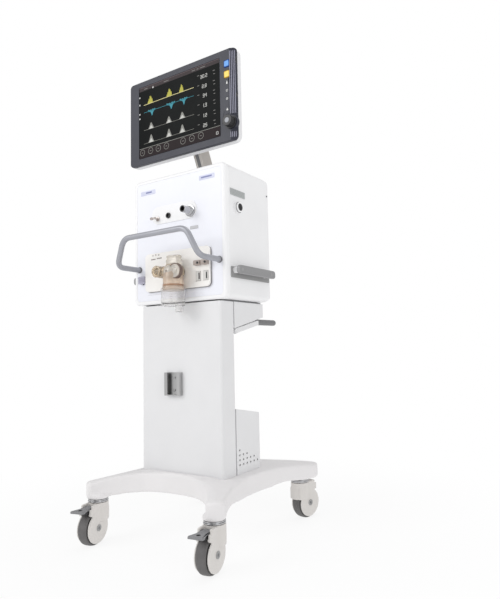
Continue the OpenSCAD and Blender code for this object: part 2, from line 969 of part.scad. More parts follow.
module valve_body() {
    color("burlywood")
        difference() {
            union() {
                y_rod(spigot_r, valve_y, panel_front_y - 2, valve_x, valve_z);
                y_rod(24, valve_y - 8, module_front_y - free_gap, valve_x, valve_z);
                // side chamber and its round cap
                x_rod(16, valve_port[0] - 10, valve_x, valve_y, valve_port[1]);
                y_rod(18, valve_y - 19, valve_y + 14, valve_port[0], valve_port[1]);
                // gas outlet block on top
                box([valve_x - 19, valve_y - 12, valve_z + 12], [valve_x + 27, valve_y + 14, valve_z + 48]);
                // neck down to the water trap, with a spigot that plugs into it
                translate([valve_x, valve_y, trap_top_z + free_gap])
                    cylinder(r = valve_neck_r, h = valve_z - trap_top_z - free_gap);
                translate([valve_x, valve_y, trap_top_z - 8])
                    cylinder(r = trap_r - trap_t - free_gap, h = 8 + free_gap);
            }
            // seat of the disc, open to the front
            y_rod(disc_r + free_gap, valve_y - 30, valve_y - 8, disc_pos[0], disc_pos[1]);
            // expiratory port, open to the front through the side chamber's cap
            y_rod(valve_port_r, valve_y - 20, valve_y + 2, valve_port[0], valve_port[1]);
        }
}

module valve_disc() {
    color("dimgray")
        y_rod(disc_r, valve_y - 22, valve_y - 8, disc_pos[0], disc_pos[1]);
}

module water_trap() {
    color([0.8, 0.8, 0.82, 0.6])
        difference() {
            union() {
                translate([valve_x, valve_y, trap_z])
                    cylinder(r = trap_r, h = trap_top_z - trap_z);
                translate([nub_x, valve_y, nub_z])
                    cylinder(r = nub_r, h = trap_z - nub_z + 1);
            }
            translate([valve_x, valve_y, trap_z + trap_t])
                cylinder(r = trap_r - trap_t, h = trap_top_z - trap_z);
            translate([nub_x, valve_y, nub_z + trap_t])
                cylinder(r = nub_r - trap_t, h = 40);
        }
}

// ---- inner parts ----

module blower() {
    color("slategray")
        translate([70, 10, housing_z + 1 + housing_t]) {
            cylinder(r = 55, h = 46);
            translate([0, 0, 46])
                cylinder(r = 26, h = 34);
            translate([-55, -18, 8])
                cube([40, 36, 30]);
        }
}

module battery_pack() {
    color("steelblue")
        box([-170, -40, housing_z + 1 + housing_t], [-40, 90, 785]);
}

module control_board() {
    board_z = housing_top_z - 32;
    color("darkgreen") {
        box([-150, -80, board_z], [150, 100, board_z + 2]);
        for (x = [-140, 140], y = [-70, 90])
            translate([x, y, board_z])
                cylinder(r = 3, h = 32 - 1 - housing_t);
    }
    color("black")
        box([-60, -40, board_z - 10], [0, 20, board_z]);
}

// ---- monitor arm ----

module swivel_base() {
    color("white")
        translate([0, swivel_y, 0]) {
            translate([0, 0, housing_top_z + free_gap])
                cylinder(r1 = 52, r2 = 48, h = neck_foot_z - housing_top_z - free_gap);
            translate([0, 0, housing_top_z - 14])
                cylinder(r = 15 - fit_gap, h = 15);
        }
}

module neck() {
    color("silver")
        difference() {
            union() {
                intersection() {
                    translate([0, swivel_y, neck_foot_z])
                        rotate([neck_lean, 0, 0])
                            translate([0, 0, -40])
                                linear_extrude(norm([neck_run, neck_rise]) + 28)
                                    rounded_rect(neck_w, neck_d, 5);
                    box([-50, -100, neck_foot_z], [50, 150, tilt_pivot[1] - 4]);
                }
                x_rod(15, -neck_w / 2, neck_w / 2, tilt_pivot[0], tilt_pivot[1]);
            }
            x_rod(tilt_pin_r + fit_gap, -30, 30, tilt_pivot[0], tilt_pivot[1]);
            // room for the bracket's plate as the monitor tilts
            box([-60, monitor_back_y - 10, 1180], [60, monitor_back_y + 9, 1300]);
        }
}

module tilt_bracket() {
    plate_y = monitor_back_y;
    color("gray") {
        difference() {
            union() {
                both_sides()
                    side_slab(tilt_ear_x, tilt_ear_x + tilt_ear_t)
                        union() {
                            translate(tilt_pivot)
                                circle(13);
                            translate([(plate_y + tilt_pivot[0]) / 2, tilt_pivot[1]])
                                square([tilt_pivot[0] - plate_y, 26], center = true);
                        }
                front_slab(bracket_pattern + 20, bracket_pattern + 20, 8, plate_y, plate_y + 4,
                    0, bracket_plate_z);
            }
            for (sx = [-1, 1], sz = [-1, 1])
                y_rod(2.2, plate_y - 1, plate_y + 5,
                    sx * bracket_pattern / 2, bracket_plate_z + sz * bracket_pattern / 2);
        }
        x_rod(tilt_pin_r, -tilt_ear_x - 9, tilt_ear_x + 9, tilt_pivot[0], tilt_pivot[1]);
    }
}

// ---- monitor ----

// Bezel outline from above: flat, with a right end that falls away to the back
module bezel_plan(front_y, back_y) {
    translate([0, 0, monitor_z - 10])
        linear_extrude(monitor_h + 20)
            polygon([
                [-monitor_w, front_y], [monitor_side_x, front_y], [monitor_x + monitor_w / 2, front_y + 9],
                [monitor_w, front_y + 10], [monitor_w, back_y], [-monitor_w, back_y]
            ]);
}

module monitor_bezel() {
    color("slategray")
        difference() {
            union() {
                intersection() {
                    front_slab(monitor_w, monitor_h, 12, monitor_front_y, bezel_back_y,
                        monitor_x, monitor_mid_z);
                    bezel_plan(monitor_front_y, bezel_back_y + 1);
                }
                y_rod(encoder_boss_r, monitor_front_y, bezel_back_y, encoder_x, encoder_z);
            }
            front_slab(screen_size[0] + 6, screen_size[1] + 6, 4, monitor_front_y + 0.8, bezel_back_y + 1,
                screen_x, screen_mid_z);
            front_slab(screen_size[0], screen_size[1], 3, monitor_front_y - 1, bezel_back_y + 1,
                screen_x, screen_mid_z);
            for (z = [blue_key_z, amber_key_z])
                front_slab(key_size[0] + 2 * free_gap, key_size[1] + 2 * free_gap, 3.4,
                    monitor_front_y - 1, bezel_back_y - 2, key_x, z);
            y_rod(3 + fit_gap, monitor_front_y - 1, bezel_back_y + 1, encoder_x, encoder_z);
        }
}

module screen_glass() {
    color([0.05, 0.05, 0.07])
        front_slab(screen_size[0] + 5.6, screen_size[1] + 5.6, 4, monitor_front_y + 0.8, monitor_front_y + 3,
            screen_x, screen_mid_z);
}

module display_panel() {
    color("black")
        front_slab(screen_size[0] + 4, screen_size[1] + 4, 3, monitor_front_y + 3, bezel_back_y,
            screen_x, screen_mid_z);
}

module keypad_strip() {
    color("darkslategray")
        front_slab(18, 112, 3, monitor_front_y - 0.5, monitor_front_y, key_x - 3, monitor_z + 141);
}

module screen_key(z) {
    front_slab(key_size[0], key_size[1], 3, monitor_front_y - 1.6, monitor_front_y + 5, key_x, z);
}

module blue_key() {
    color("royalblue")
        screen_key(blue_key_z);
}

module amber_key() {
    color("goldenrod")
        screen_key(amber_key_z);
}

module encoder_shaft() {
    color("silver") {
        y_rod(3, monitor_front_y - 14, bezel_back_y + 6, encoder_x, encoder_z);
        y_rod(5, bezel_back_y + 1, bezel_back_y + 4, encoder_x, encoder_z);
    }
}

module encoder_knob() {
    face_y = monitor_front_y - 22;
    color("black")
        difference() {
            union() {
                y_rod(encoder_d / 2 + 3, monitor_front_y - 5, monitor_front_y - 1.5, encoder_x, encoder_z);
                y_rod(encoder_d / 2, face_y, monitor_front_y - 5, encoder_x, encoder_z);
            }
            y_rod(3 + fit_gap, monitor_front_y - 14.5, monitor_front_y, encoder_x, encoder_z);
            for (i = [0 : 17])
                y_rod(1.2, face_y - 1, monitor_front_y - 5,
                    encoder_x + encoder_d / 2 * cos(20 * i), encoder_z + encoder_d / 2 * sin(20 * i));
        }
}

// Back cover: a shallow tray, with a smaller step behind it for the electronics
module monitor_back() {
    step_y = monitor_back_y - 12;
    color("white")
        difference() {
            union() {
                front_slab(monitor_w + 4, monitor_h + 2, 20, bezel_back_y, step_y,
                    monitor_x, monitor_mid_z - 1);
                front_slab(monitor_w - 60, monitor_h - 60, 24, step_y, monitor_back_y,
                    monitor_x, monitor_mid_z);
            }
            front_slab(monitor_w - 4, monitor_h - 6, 16, bezel_back_y - e, step_y - 3,
                monitor_x, monitor_mid_z);
            front_slab(monitor_w - 66, monitor_h - 66, 21, step_y - 4, monitor_back_y - 3,
                monitor_x, monitor_mid_z);
        }
}

base_casting();
column_shell();
column_gusset();
lower_box();
humidifier_bracket();
bracket_screws();
docking_plate();
caster_stems();
housing_shell();
front_frame();
front_panel();
rear_panel();
gas_inlets();
power_inlet();
port_panel();
inspiratory_port();
nebuliser_nipple();
sensor_socket();
module_housing();
flow_sensor_sockets();
front_handle();
handle_feet();
side_rails();
rail_spacers();
blower();
battery_pack();
control_board();
dock_lever_arm();
dock_lever_grip();
side_knob();
module_latch();
valve_body();
valve_disc();
water_trap();
swivel_base();
neck();
tilt_bracket();
monitor_back();
monitor_bezel();
display_panel();
screen_glass();
keypad_strip();
blue_key();
amber_key();
encoder_shaft();
encoder_knob();
front_left() front_fork(-1);  // front_left_fork
front_left() hub(-front_caster_x, front_axle_y);  // front_left_hub
front_left() tyre(-front_caster_x, front_axle_y);  // front_left_tyre
front_left() pedal(-front_caster_x, -front_caster_y);  // front_left_pedal
front_right() front_fork(1);  // front_right_fork
front_right() hub(front_caster_x, front_axle_y);  // front_right_hub
front_right() tyre(front_caster_x, front_axle_y);  // front_right_tyre
front_right() pedal(front_caster_x, -front_caster_y);  // front_right_pedal
rear_left() fork(-rear_caster_x, rear_caster_y, -1, false);  // rear_left_fork
rear_left() hub(-rear_caster_x, rear_axle_y);  // rear_left_hub
rear_left() tyre(-rear_caster_x, rear_axle_y);  // rear_left_tyre
rear_right() fork(rear_caster_x, rear_caster_y, -1, false);  // rear_right_fork
rear_right() hub(rear_caster_x, rear_axle_y);  // rear_right_hub
rear_right() tyre(rear_caster_x, rear_axle_y);  // rear_right_tyre
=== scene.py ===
import json
import math
from types import SimpleNamespace

import bmesh
import bpy
from mathutils import Matrix, Vector


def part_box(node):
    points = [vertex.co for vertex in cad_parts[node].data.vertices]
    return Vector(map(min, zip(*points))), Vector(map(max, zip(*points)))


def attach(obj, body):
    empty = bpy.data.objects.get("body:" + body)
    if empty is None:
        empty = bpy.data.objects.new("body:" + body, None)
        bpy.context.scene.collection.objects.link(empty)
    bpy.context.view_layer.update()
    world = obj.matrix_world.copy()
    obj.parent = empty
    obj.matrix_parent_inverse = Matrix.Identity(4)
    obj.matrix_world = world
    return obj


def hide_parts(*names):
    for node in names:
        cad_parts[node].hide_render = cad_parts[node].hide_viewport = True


# Looks of a mechanical ventilator on its cart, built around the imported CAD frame.
# Shapes are written in millimetres in the CAD's own frame and turned into metres in mesh_object().

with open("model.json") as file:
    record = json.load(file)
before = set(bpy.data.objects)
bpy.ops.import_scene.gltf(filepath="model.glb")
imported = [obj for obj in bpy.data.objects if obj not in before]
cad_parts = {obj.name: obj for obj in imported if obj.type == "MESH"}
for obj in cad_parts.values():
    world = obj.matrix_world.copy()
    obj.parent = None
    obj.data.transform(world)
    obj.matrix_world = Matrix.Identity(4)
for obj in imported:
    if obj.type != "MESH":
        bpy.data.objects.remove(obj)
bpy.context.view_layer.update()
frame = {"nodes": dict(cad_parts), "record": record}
NODES = frame["nodes"]
MM = 0.001
JOINTS = {j["name"]: j for j in frame["record"]["behaviour"]["joints"]}
CASTERS = ("front_left", "front_right", "rear_left", "rear_right")

# Places that several pieces share, as in the CAD.
SIDE_WALL = 188  # outer face of the housing's side walls
VALVE_X, VALVE_Y, VALVE_Z = 19, -152, 802
SENSOR_XS, SENSOR_Z = (90.5, 119), 783.5
BEZEL_W = 449  # without the knob's boss, which stands out at the right end


# ---------------------------------------------------------------- camera, light, floor

def add_camera():
    """The photograph's viewing angle: low, from the front right, looking slightly up."""
    yaw, pitch, roll = 0.5580, 0.0963, -0.0266
    ahead = Vector((-math.sin(yaw), math.cos(yaw), 0))
    right = Vector((math.cos(yaw), math.sin(yaw), 0))
    up = Vector((0, 0, 1))
    forward = ahead * math.cos(pitch) + up * math.sin(pitch)
    tilted_up = up * math.cos(pitch) - ahead * math.sin(pitch)
    rolled_right = right * math.cos(roll) + tilted_up * math.sin(roll)
    rolled_up = tilted_up * math.cos(roll) - right * math.sin(roll)
    camera = bpy.data.objects.new("camera", bpy.data.cameras.new("camera"))
    bpy.context.scene.collection.objects.link(camera)
    axes = Matrix((rolled_right, rolled_up, -forward)).transposed()
    camera.matrix_world = Matrix.Translation((1.1339, -1.3542, 0.5625)) @ axes.to_4x4()
    camera.data.lens = 32.42
    camera.data.shift_x = -0.0437
    camera.data.shift_y = -0.0057
    bpy.context.scene.camera = camera


def add_area_light(name, place, target, size, power):
    light = bpy.data.lights.new(name, "AREA")
    light.size = size
    light.energy = power
    lamp = bpy.data.objects.new(name, light)
    bpy.context.scene.collection.objects.link(lamp)
    lamp.location = place
    lamp.rotation_euler = (Vector(target) - Vector(place)).to_track_quat("-Z", "Y").to_euler()


def add_studio():
    """A white studio: an even sky, one large key from the front left and a pale floor."""
    scene = bpy.context.scene
    scene.view_settings.view_transform = "Standard"
    world = bpy.data.worlds.new("studio")
    scene.world = world
    world.use_nodes = True
    tree = world.node_tree
    background = tree.nodes["Background"]
    ray = tree.nodes.new("ShaderNodeLightPath")
    strength = tree.nodes.new("ShaderNodeMapRange")
    strength.inputs["To Min"].default_value = 0.62
    strength.inputs["To Max"].default_value = 1.0
    tree.links.new(ray.outputs["Is Camera Ray"], strength.inputs["Value"])
    tree.links.new(strength.outputs["Result"], background.inputs["Strength"])
    background.inputs["Color"].default_value = (1, 1, 1, 1)
    add_area_light("key", (-1.8, -3.4, 2.6), (0, 0, 0.8), 2.4, 62)
    add_area_light("fill", (3.4, -1.2, 1.8), (0, 0, 0.8), 2.2, 26)
    add_area_light("top", (0.4, 0.6, 3.6), (0, 0, 0.6), 2.0, 18)
    floor_mesh = bpy.data.meshes.new("floor")
    reach = 30
    floor_mesh.from_pydata(
        [(-reach, -reach, 0), (reach, -reach, 0), (reach, reach, 0), (-reach, reach, 0)],
        [], [(0, 1, 2, 3)])
    floor = bpy.data.objects.new("floor", floor_mesh)
    scene.collection.objects.link(floor)
    floor_mesh.materials.append(floor_material())


def floor_material():
    """Pale matt floor near the object, which fades into the white of the studio further out."""
    m = bpy.data.materials.new("floor")
    m.use_nodes = True
    tree = m.node_tree
    shader = tree.nodes["Principled BSDF"]
    shader.inputs["Base Color"].default_value = (0.93, 0.93, 0.935, 1)
    shader.inputs["Roughness"].default_value = 0.6
    shader.inputs["Specular IOR Level"].default_value = 0.2
    glow = tree.nodes.new("ShaderNodeEmission")
    coords = tree.nodes.new("ShaderNodeTexCoord")
    distance = tree.nodes.new("ShaderNodeVectorMath")
    distance.operation = "LENGTH"
    fade = tree.nodes.new("ShaderNodeMapRange")
    fade.interpolation_type = "SMOOTHSTEP"
    fade.inputs["From Min"].default_value = 0.35
    fade.inputs["From Max"].default_value = 1.3
    fade.inputs["To Min"].default_value = 0.86
    mix = tree.nodes.new("ShaderNodeMixShader")
    tree.links.new(coords.outputs["Object"], distance.inputs[0])
    tree.links.new(distance.outputs["Value"], fade.inputs["Value"])
    tree.links.new(fade.outputs["Result"], mix.inputs["Fac"])
    tree.links.new(shader.outputs["BSDF"], mix.inputs[1])
    tree.links.new(glow.outputs["Emission"], mix.inputs[2])
    tree.links.new(mix.outputs["Shader"], tree.nodes["Material Output"].inputs["Surface"])
    return m


# ---------------------------------------------------------------- materials

def material(name, color, rough, metallic=0.0, mottle=0.03, mottle_mm=70, rough_spread=0.05,
             grain_mm=0.9, grain_depth_mm=0.02, stretch=(1, 1, 1), emission=0.0, **sockets):
    """Procedural finish: slow colour and roughness drift, and a fine grain in the surface."""
    m = bpy.data.materials.new(name)
    m.use_nodes = True
    tree = m.node_tree
    shader = tree.nodes["Principled BSDF"]
    coords = tree.nodes.new("ShaderNodeTexCoord")
    mapping = tree.nodes.new("ShaderNodeMapping")
    mapping.inputs["Scale"].default_value = stretch
    tree.links.new(coords.outputs["Object"], mapping.inputs["Vector"])

    def noise(size_mm, detail):
        node = tree.nodes.new("ShaderNodeTexNoise")
        node.inputs["Scale"].default_value = 1 / (size_mm * MM)
        node.inputs["Detail"].default_value = detail
        tree.links.new(mapping.outputs["Vector"], node.inputs["Vector"])
        return node.outputs["Fac"]

    drift = noise(mottle_mm, 4)
    ramp = tree.nodes.new("ShaderNodeValToRGB")
    for stop, share in zip(ramp.color_ramp.elements, (1 - mottle, 1 + mottle)):
        stop.color = [min(1, c * share) for c in color] + [1]
    ramp.color_ramp.elements[0].position = 0.3
    ramp.color_ramp.elements[1].position = 0.7
    tree.links.new(drift, ramp.inputs["Fac"])
    tree.links.new(ramp.outputs["Color"], shader.inputs["Base Color"])
    spread = tree.nodes.new("ShaderNodeMapRange")
    spread.inputs["To Min"].default_value = max(0, rough - rough_spread)
    spread.inputs["To Max"].default_value = rough + rough_spread
    tree.links.new(noise(mottle_mm / 3, 5), spread.inputs["Value"])
    tree.links.new(spread.outputs["Result"], shader.inputs["Roughness"])
    bump = tree.nodes.new("ShaderNodeBump")
    bump.inputs["Strength"].default_value = 1.0
    bump.inputs["Distance"].default_value = grain_depth_mm * MM
    tree.links.new(noise(grain_mm, 2), bump.inputs["Height"])
    tree.links.new(bump.outputs["Normal"], shader.inputs["Normal"])
    shader.inputs["Metallic"].default_value = metallic
    if emission:
        tree.links.new(ramp.outputs["Color"], shader.inputs["Emission Color"])
        shader.inputs["Emission Strength"].default_value = emission
    for socket, value in sockets.items():
        shader.inputs[socket.replace("_", " ")].default_value = value
    return m


WHITE_PAINT = material("white_powder_coat", (0.84, 0.84, 0.85), 0.42, mottle=0.012, grain_mm=2.2,
                       grain_depth_mm=0.03, Coat_Weight=0.15, Coat_Roughness=0.3)
# Darker copy of the white powder coat: painted shade for the cart's column, gusset, lower box and
# lever arm.
SHADED_CART_PAINT = material("cart_powder_coat_painted_shade", (0.745, 0.745, 0.755), 0.44, mottle=0.012, grain_mm=2.2,
                      grain_depth_mm=0.03, Coat_Weight=0.1, Coat_Roughness=0.3)
# Grey for the monitor's white back cover: painted shade on a cover seen from below.
SHADED_COVER_PLASTIC = material("monitor_cover", (0.74, 0.74, 0.755), 0.45, mottle=0.012)
WHITE_PLASTIC = material("white_moulding", (0.87, 0.87, 0.88), 0.48, mottle=0.012)
PANEL_PLASTIC = material("panel_moulding", (0.83, 0.84, 0.90), 0.42, mottle=0.012)
CREAM_PLASTIC = material("cream_moulding", (0.90, 0.88, 0.855), 0.45, mottle=0.015)
BASE_PAINT = material("base_casting_paint", (0.785, 0.77, 0.775), 0.5, mottle=0.015, grain_mm=3,
                      grain_depth_mm=0.05)
# Caster hoods darkened as painted shade on the low hoods.
SHADED_HOOD_PLASTIC = material("caster_hood_painted_shade", (0.67, 0.645, 0.62), 0.4, mottle=0.015)
GREY_PLASTIC = material("grey_moulding", (0.17, 0.17, 0.175), 0.5, mottle=0.06)
MID_PLASTIC = material("mid_grey_moulding", (0.33, 0.33, 0.33), 0.5, mottle=0.05)
DARK_PLASTIC = material("black_moulding", (0.018, 0.018, 0.02), 0.42, mottle=0.1)
BEZEL_PLASTIC = material("bezel_moulding", (0.026, 0.028, 0.042), 0.42, mottle=0.05,
                         Specular_IOR_Level=0.4)
# Light lavender grey on the bezel's ridges: painted highlight where the ridges catch the light.
RIDGE_HIGHLIGHT = material("bezel_ridges", (0.40, 0.40, 0.50), 0.34, mottle=0.05)
RAIL_METAL = material("rail_anodised", (0.34, 0.34, 0.345), 0.42, metallic=0.55, mottle=0.05,
                      grain_mm=0.5, stretch=(1, 0.03, 1))
HANDLE_METAL = material("handle_anodised", (0.365, 0.37, 0.405), 0.40, metallic=0.35, mottle=0.04,
                        grain_mm=0.6)
NECK_METAL = material("neck_satin", (0.50, 0.47, 0.44), 0.38, metallic=0.5, mottle=0.04,
                      grain_mm=0.5, stretch=(1, 1, 0.04))
STAINLESS = material("brushed_stainless", (0.46, 0.46, 0.46), 0.34, metallic=1.0, mottle=0.08,
                     grain_mm=0.35, grain_depth_mm=0.015, stretch=(1, 1, 0.03))
CHROME = material("polished_chrome", (0.52, 0.52, 0.53), 0.14, metallic=1.0, mottle=0.02,
                  rough_spread=0.03, grain_depth_mm=0.002)
NIPPLE_METAL = material("nipple_metal", (0.50, 0.45, 0.43), 0.26, metallic=0.8, mottle=0.04)
TYRE_RUBBER = material("tyre_rubber", (0.12, 0.115, 0.115), 0.62, mottle=0.10, mottle_mm=14,
                       grain_mm=1.2, grain_depth_mm=0.05)
AMBER_PLASTIC = material("amber_translucent", (0.93, 0.80, 0.62), 0.16, mottle=0.06, mottle_mm=14,
                         Transmission_Weight=0.68, IOR=1.46, Coat_Weight=0.3, Coat_Roughness=0.1)
PALE_AMBER = material("pale_translucent", (0.95, 0.90, 0.82), 0.2, mottle=0.05, mottle_mm=12,
                      Transmission_Weight=0.55, IOR=1.46, Coat_Weight=0.3, Coat_Roughness=0.1)
DEEP_AMBER = material("deep_translucent", (0.92, 0.76, 0.62), 0.2, mottle=0.08, mottle_mm=10,
                      Transmission_Weight=0.62, IOR=1.46)
BROWN_RUBBER = material("brown_membrane", (0.16, 0.11, 0.09), 0.45, mottle=0.1, mottle_mm=10)
SMOKE_PLASTIC = material("smoke_translucent", (0.97, 0.965, 0.96), 0.10, mottle=0.02, mottle_mm=20,
                         Transmission_Weight=0.94, IOR=1.25)
LATCH_PLASTIC = material("latch_moulding", (0.42, 0.41, 0.50), 0.42, mottle=0.04, mottle_mm=12)
CLIP_PLASTIC = material("clip_moulding", (0.40, 0.34, 0.31), 0.45, mottle=0.06, mottle_mm=8)
SOCKET_PLASTIC = material("socket_moulding", (0.66, 0.65, 0.63), 0.42, mottle=0.03, mottle_mm=8)
LABEL_PLASTIC = material("label_plate", (0.60, 0.62, 0.76), 0.35, mottle=0.03, mottle_mm=12)
LABEL_INK = material("label_ink", (0.20, 0.22, 0.42), 0.4, mottle=0.05)
PLATE_LINE = material("side_plate_lines", (0.30, 0.31, 0.31), 0.5, mottle=0.05)
BAND_GREY = material("rail_dark_band", (0.30, 0.30, 0.30), 0.5, mottle=0.04)
FRONT_BAR_GREY = material("front_grey_bar", (0.52, 0.52, 0.54), 0.45, mottle=0.04)
SEAM_WHITE = material("seam_filler", (0.78, 0.78, 0.79), 0.6, mottle=0.02)
MARK_GREY = material("printed_marks", (0.30, 0.27, 0.25), 0.5, mottle=0.06)
# Near-black for the module's edge: painted shadow in the gap round it.
PAINTED_SHADOW_DARK = material("module_painted_shadow", (0.20, 0.19, 0.19), 0.6, mottle=0.06)
PEDAL_PLASTIC = material("pedal_moulding", (0.22, 0.22, 0.23), 0.5, mottle=0.05)
# Dark grey for the recessed plate under the housing: painted shade along the line between housing
# and column.
DOCK_SHADE_DARK = material("docking_plate", (0.26, 0.26, 0.27), 0.5, mottle=0.05)
NECK_LIGHT = material("neck_edges", (0.66, 0.64, 0.61), 0.35, metallic=0.4, mottle=0.03)
# Grey lighter than the black knob: painted highlight in the knob's finger dimple.
KNOB_DIMPLE_HIGHLIGHT = material("knob_dimple_highlight", (0.30, 0.31, 0.34), 0.35, mottle=0.04)
BAND_AMBER = material("valve_band", (0.42, 0.24, 0.15), 0.3, mottle=0.08, mottle_mm=8,
                      Transmission_Weight=0.2)
PLATE_GREY = material("side_plate", (0.42, 0.44, 0.44), 0.5, mottle=0.08, mottle_mm=3)
SCREEN_GLASS = material("screen_glass", (0.005, 0.006, 0.006), 0.3, mottle=0.1, rough_spread=0.05,
                        grain_depth_mm=0.001, Specular_IOR_Level=0.04)
CIRCUIT = material("circuit_board", (0.03, 0.16, 0.07), 0.4, mottle=0.2, mottle_mm=3)
BATTERY_WRAP = material("battery_wrap", (0.06, 0.14, 0.32), 0.3, mottle=0.05)


def lit(name, color, strength=0.3, mottle=0.06):
    """Something that glows on the display, such as a trace or a key."""
    return material(name, color, 0.5, mottle=mottle, mottle_mm=6, emission=strength,
                    Specular_IOR_Level=0.1)


YELLOW_TRACE = lit("trace_yellow", (0.34, 0.32, 0.06))
PALE_YELLOW = lit("trace_line", (0.55, 0.50, 0.26))
TEAL_TRACE = lit("trace_teal", (0.045, 0.21, 0.26))
GREY_TRACE = lit("trace_grey", (0.20, 0.20, 0.185))
DIM_LINE = lit("trace_dim", (0.11, 0.085, 0.09))
DIM_TRACE = lit("trace_faint", (0.20, 0.20, 0.18))
DIM_MARK = lit("mark_dim", (0.15, 0.145, 0.14))
BELL_LIGHT = lit("bell_light", (0.42, 0.42, 0.40))
BRIGHT_MARK = lit("mark_bright", (0.55, 0.55, 0.54))
DIGIT_LIGHT = lit("digits", (0.50, 0.50, 0.48))
STATUS_BAND = lit("status_band", (0.040, 0.032, 0.034))
FOOT_BAND = lit("foot_band", (0.016, 0.011, 0.012))
BLUE_KEY = lit("key_blue", (0.02, 0.06, 0.24), 0.2)
BLUE_MARK = lit("key_blue_mark", (0.15, 0.33, 0.68), 0.25)
AMBER_KEY = lit("key_amber", (0.40, 0.25, 0.04), 0.3)
AMBER_MARK = lit("key_amber_mark", (0.80, 0.60, 0.16), 0.25)


# ---------------------------------------------------------------- geometry, in millimetres

def span(node):
    """A CAD node's box, in millimetres."""
    low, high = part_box(node)
    low, high = low / MM, high / MM
    mid, size = (low + high) / 2, high - low
    return SimpleNamespace(
        x0=low.x, x1=high.x, y0=low.y, y1=high.y, z0=low.z, z1=high.z,
        x=mid.x, y=mid.y, z=mid.z, w=size.x, d=size.y, h=size.z)


def facing_front(x, z):
    """Maps (across, up, depth) to a place on something that faces -Y; depth is y."""
    return lambda u, v, d: (x + u, d, z + v)


def facing_side(y, z):
    """The same for something that faces +X or -X; depth is x."""
    return lambda u, v, d: (d, y + u, z + v)


def facing_up(x, y):
    """The same for something that faces up or down; depth is z."""
    return lambda u, v, d: (x + u, y + v, d)


def join(*parts):
    verts, faces = [], []
    for part_verts, part_faces in parts:
        start = len(verts)
        verts += part_verts
        faces += [tuple(i + start for i in face) for face in part_faces]
    return verts, faces


def loft(rings, closed=False):
    """Skin over rings of equal length; closed joins the last ring to the first."""
    n = len(rings[0])
    verts = [p for ring in rings for p in ring]
    faces = []
    for i in range(len(rings) if closed else len(rings) - 1):
        a, b = i * n, (i + 1) % len(rings) * n
        faces += [(a + k, a + (k + 1) % n, b + (k + 1) % n, b + k) for k in range(n)]
    if not closed:
        faces.append(tuple(range(n - 1, -1, -1)))
        faces.append(tuple(range(len(verts) - n, len(verts))))
    return verts, faces


def rounded(w, h, r, steps=6):
    """Outline of a rectangle with round corners."""
    r = max(0.02, min(r, w / 2 - 0.01, h / 2 - 0.01))
    corners = ((1, 1), (-1, 1), (-1, -1), (1, -1))
    return [
        (sx * (w / 2 - r) + r * math.cos(math.pi / 2 * (quarter + i / steps)),
         sz * (h / 2 - r) + r * math.sin(math.pi / 2 * (quarter + i / steps)))
        for quarter, (sx, sz) in enumerate(corners)
        for i in range(steps + 1)]


def stack(layers, place, steps=6, closed=False):
    """Rounded rectangles (width, height, radius, depth) skinned one after another."""
    rings = [[place(u, v, depth) for u, v in rounded(w, h, r, steps)] for w, h, r, depth in layers]
    return loft(rings, closed)


def rim(edge, depth, toward, steps=4):
    """(inset, depth) pairs of a quarter-round rim that ends at depth."""
    angles = [math.pi / 2 * i / steps for i in range(steps + 1)]
    return [(edge * (1 - math.cos(a)), depth - toward * edge * (1 - math.sin(a))) for a in angles]


def plate(w, h, r, back, front, edge, place, steps=6):
    """Plate with round corners and a rounded front rim."""
    toward = 1 if front > back else -1
    layers = [(w, h, r, back)]
    layers += [(w - 2 * i, h - 2 * i, r - i, depth) for i, depth in rim(edge, front, toward)]
    return stack(layers, place, steps)


def round_corners(points, r, closed=False, steps=4):
    """A polyline with each corner replaced by a short bend."""
    result = []
    n = len(points)
    for i, corner in enumerate(points):
        if not closed and i in (0, n - 1):
            result.append(tuple(corner))
            continue
        here, before, after = Vector(corner), Vector(points[i - 1]), Vector(points[(i + 1) % n])
        to_before, to_after = before - here, after - here
        reach = min(r, 0.45 * to_before.length, 0.45 * to_after.length)
        a, b = here + to_before.normalized() * reach, here + to_after.normalized() * reach
        for k in range(steps + 1):
            t = k / steps
            result.append(tuple((1 - t) ** 2 * a + 2 * t * (1 - t) * here + t ** 2 * b))
    return result


def lathe(profile, place, edge=0.6, sides=48, hollow=False):
    """Turned shape from (radius, depth) pairs; hollow joins the profile's end to its start."""
    rings = [
        [place(r * math.cos(math.tau * k / sides), r * math.sin(math.tau * k / sides), depth)
         for k in range(sides)]
        for r, depth in round_corners(profile, edge, closed=hollow)]
    return loft(rings, closed=hollow)


def tube(path, r, sides=20):
    """Round tube along a path; its rings turn with the path as little as they can."""
    path = [Vector(p) for p in path]
    rings = []
    side = None
    for i, p in enumerate(path):
        along = (path[min(i + 1, len(path) - 1)] - path[max(i - 1, 0)]).normalized()
        if side is None:
            side = along.orthogonal().normalized()
        side = (side - along * side.dot(along)).normalized()
        up = along.cross(side)
        angles = [math.tau * k / sides for k in range(sides)]
        rings.append([tuple(p + r * (math.cos(a) * side + math.sin(a) * up)) for a in angles])
    return loft(rings)


def prism(outline, place, d0, d1):
    return loft([[place(u, v, d) for u, v in outline] for d in (d0, d1)])


def mesh_object(name, parts, smooth_deg, bevel_mm):
    """One mesh from (geometry, material) pairs, with its normals made consistent."""
    mesh = bpy.data.meshes.new(name)
    verts, faces = join(*(geometry for geometry, _ in parts))
    mesh.from_pydata([tuple(c * MM for c in v) for v in verts], [], faces)
    slots = []
    for geometry, finish in parts:
        if finish not in slots:
            slots.append(finish)
            mesh.materials.append(finish)
    index = [slots.index(finish) for geometry, finish in parts for _ in geometry[1]]
    mesh.polygons.foreach_set("material_index", index)
    bm = bmesh.new()
    bm.from_mesh(mesh)
    bmesh.ops.recalc_face_normals(bm, faces=bm.faces)
    bm.to_mesh(mesh)
    bm.free()
    return shaded(name, mesh, smooth_deg, bevel_mm)


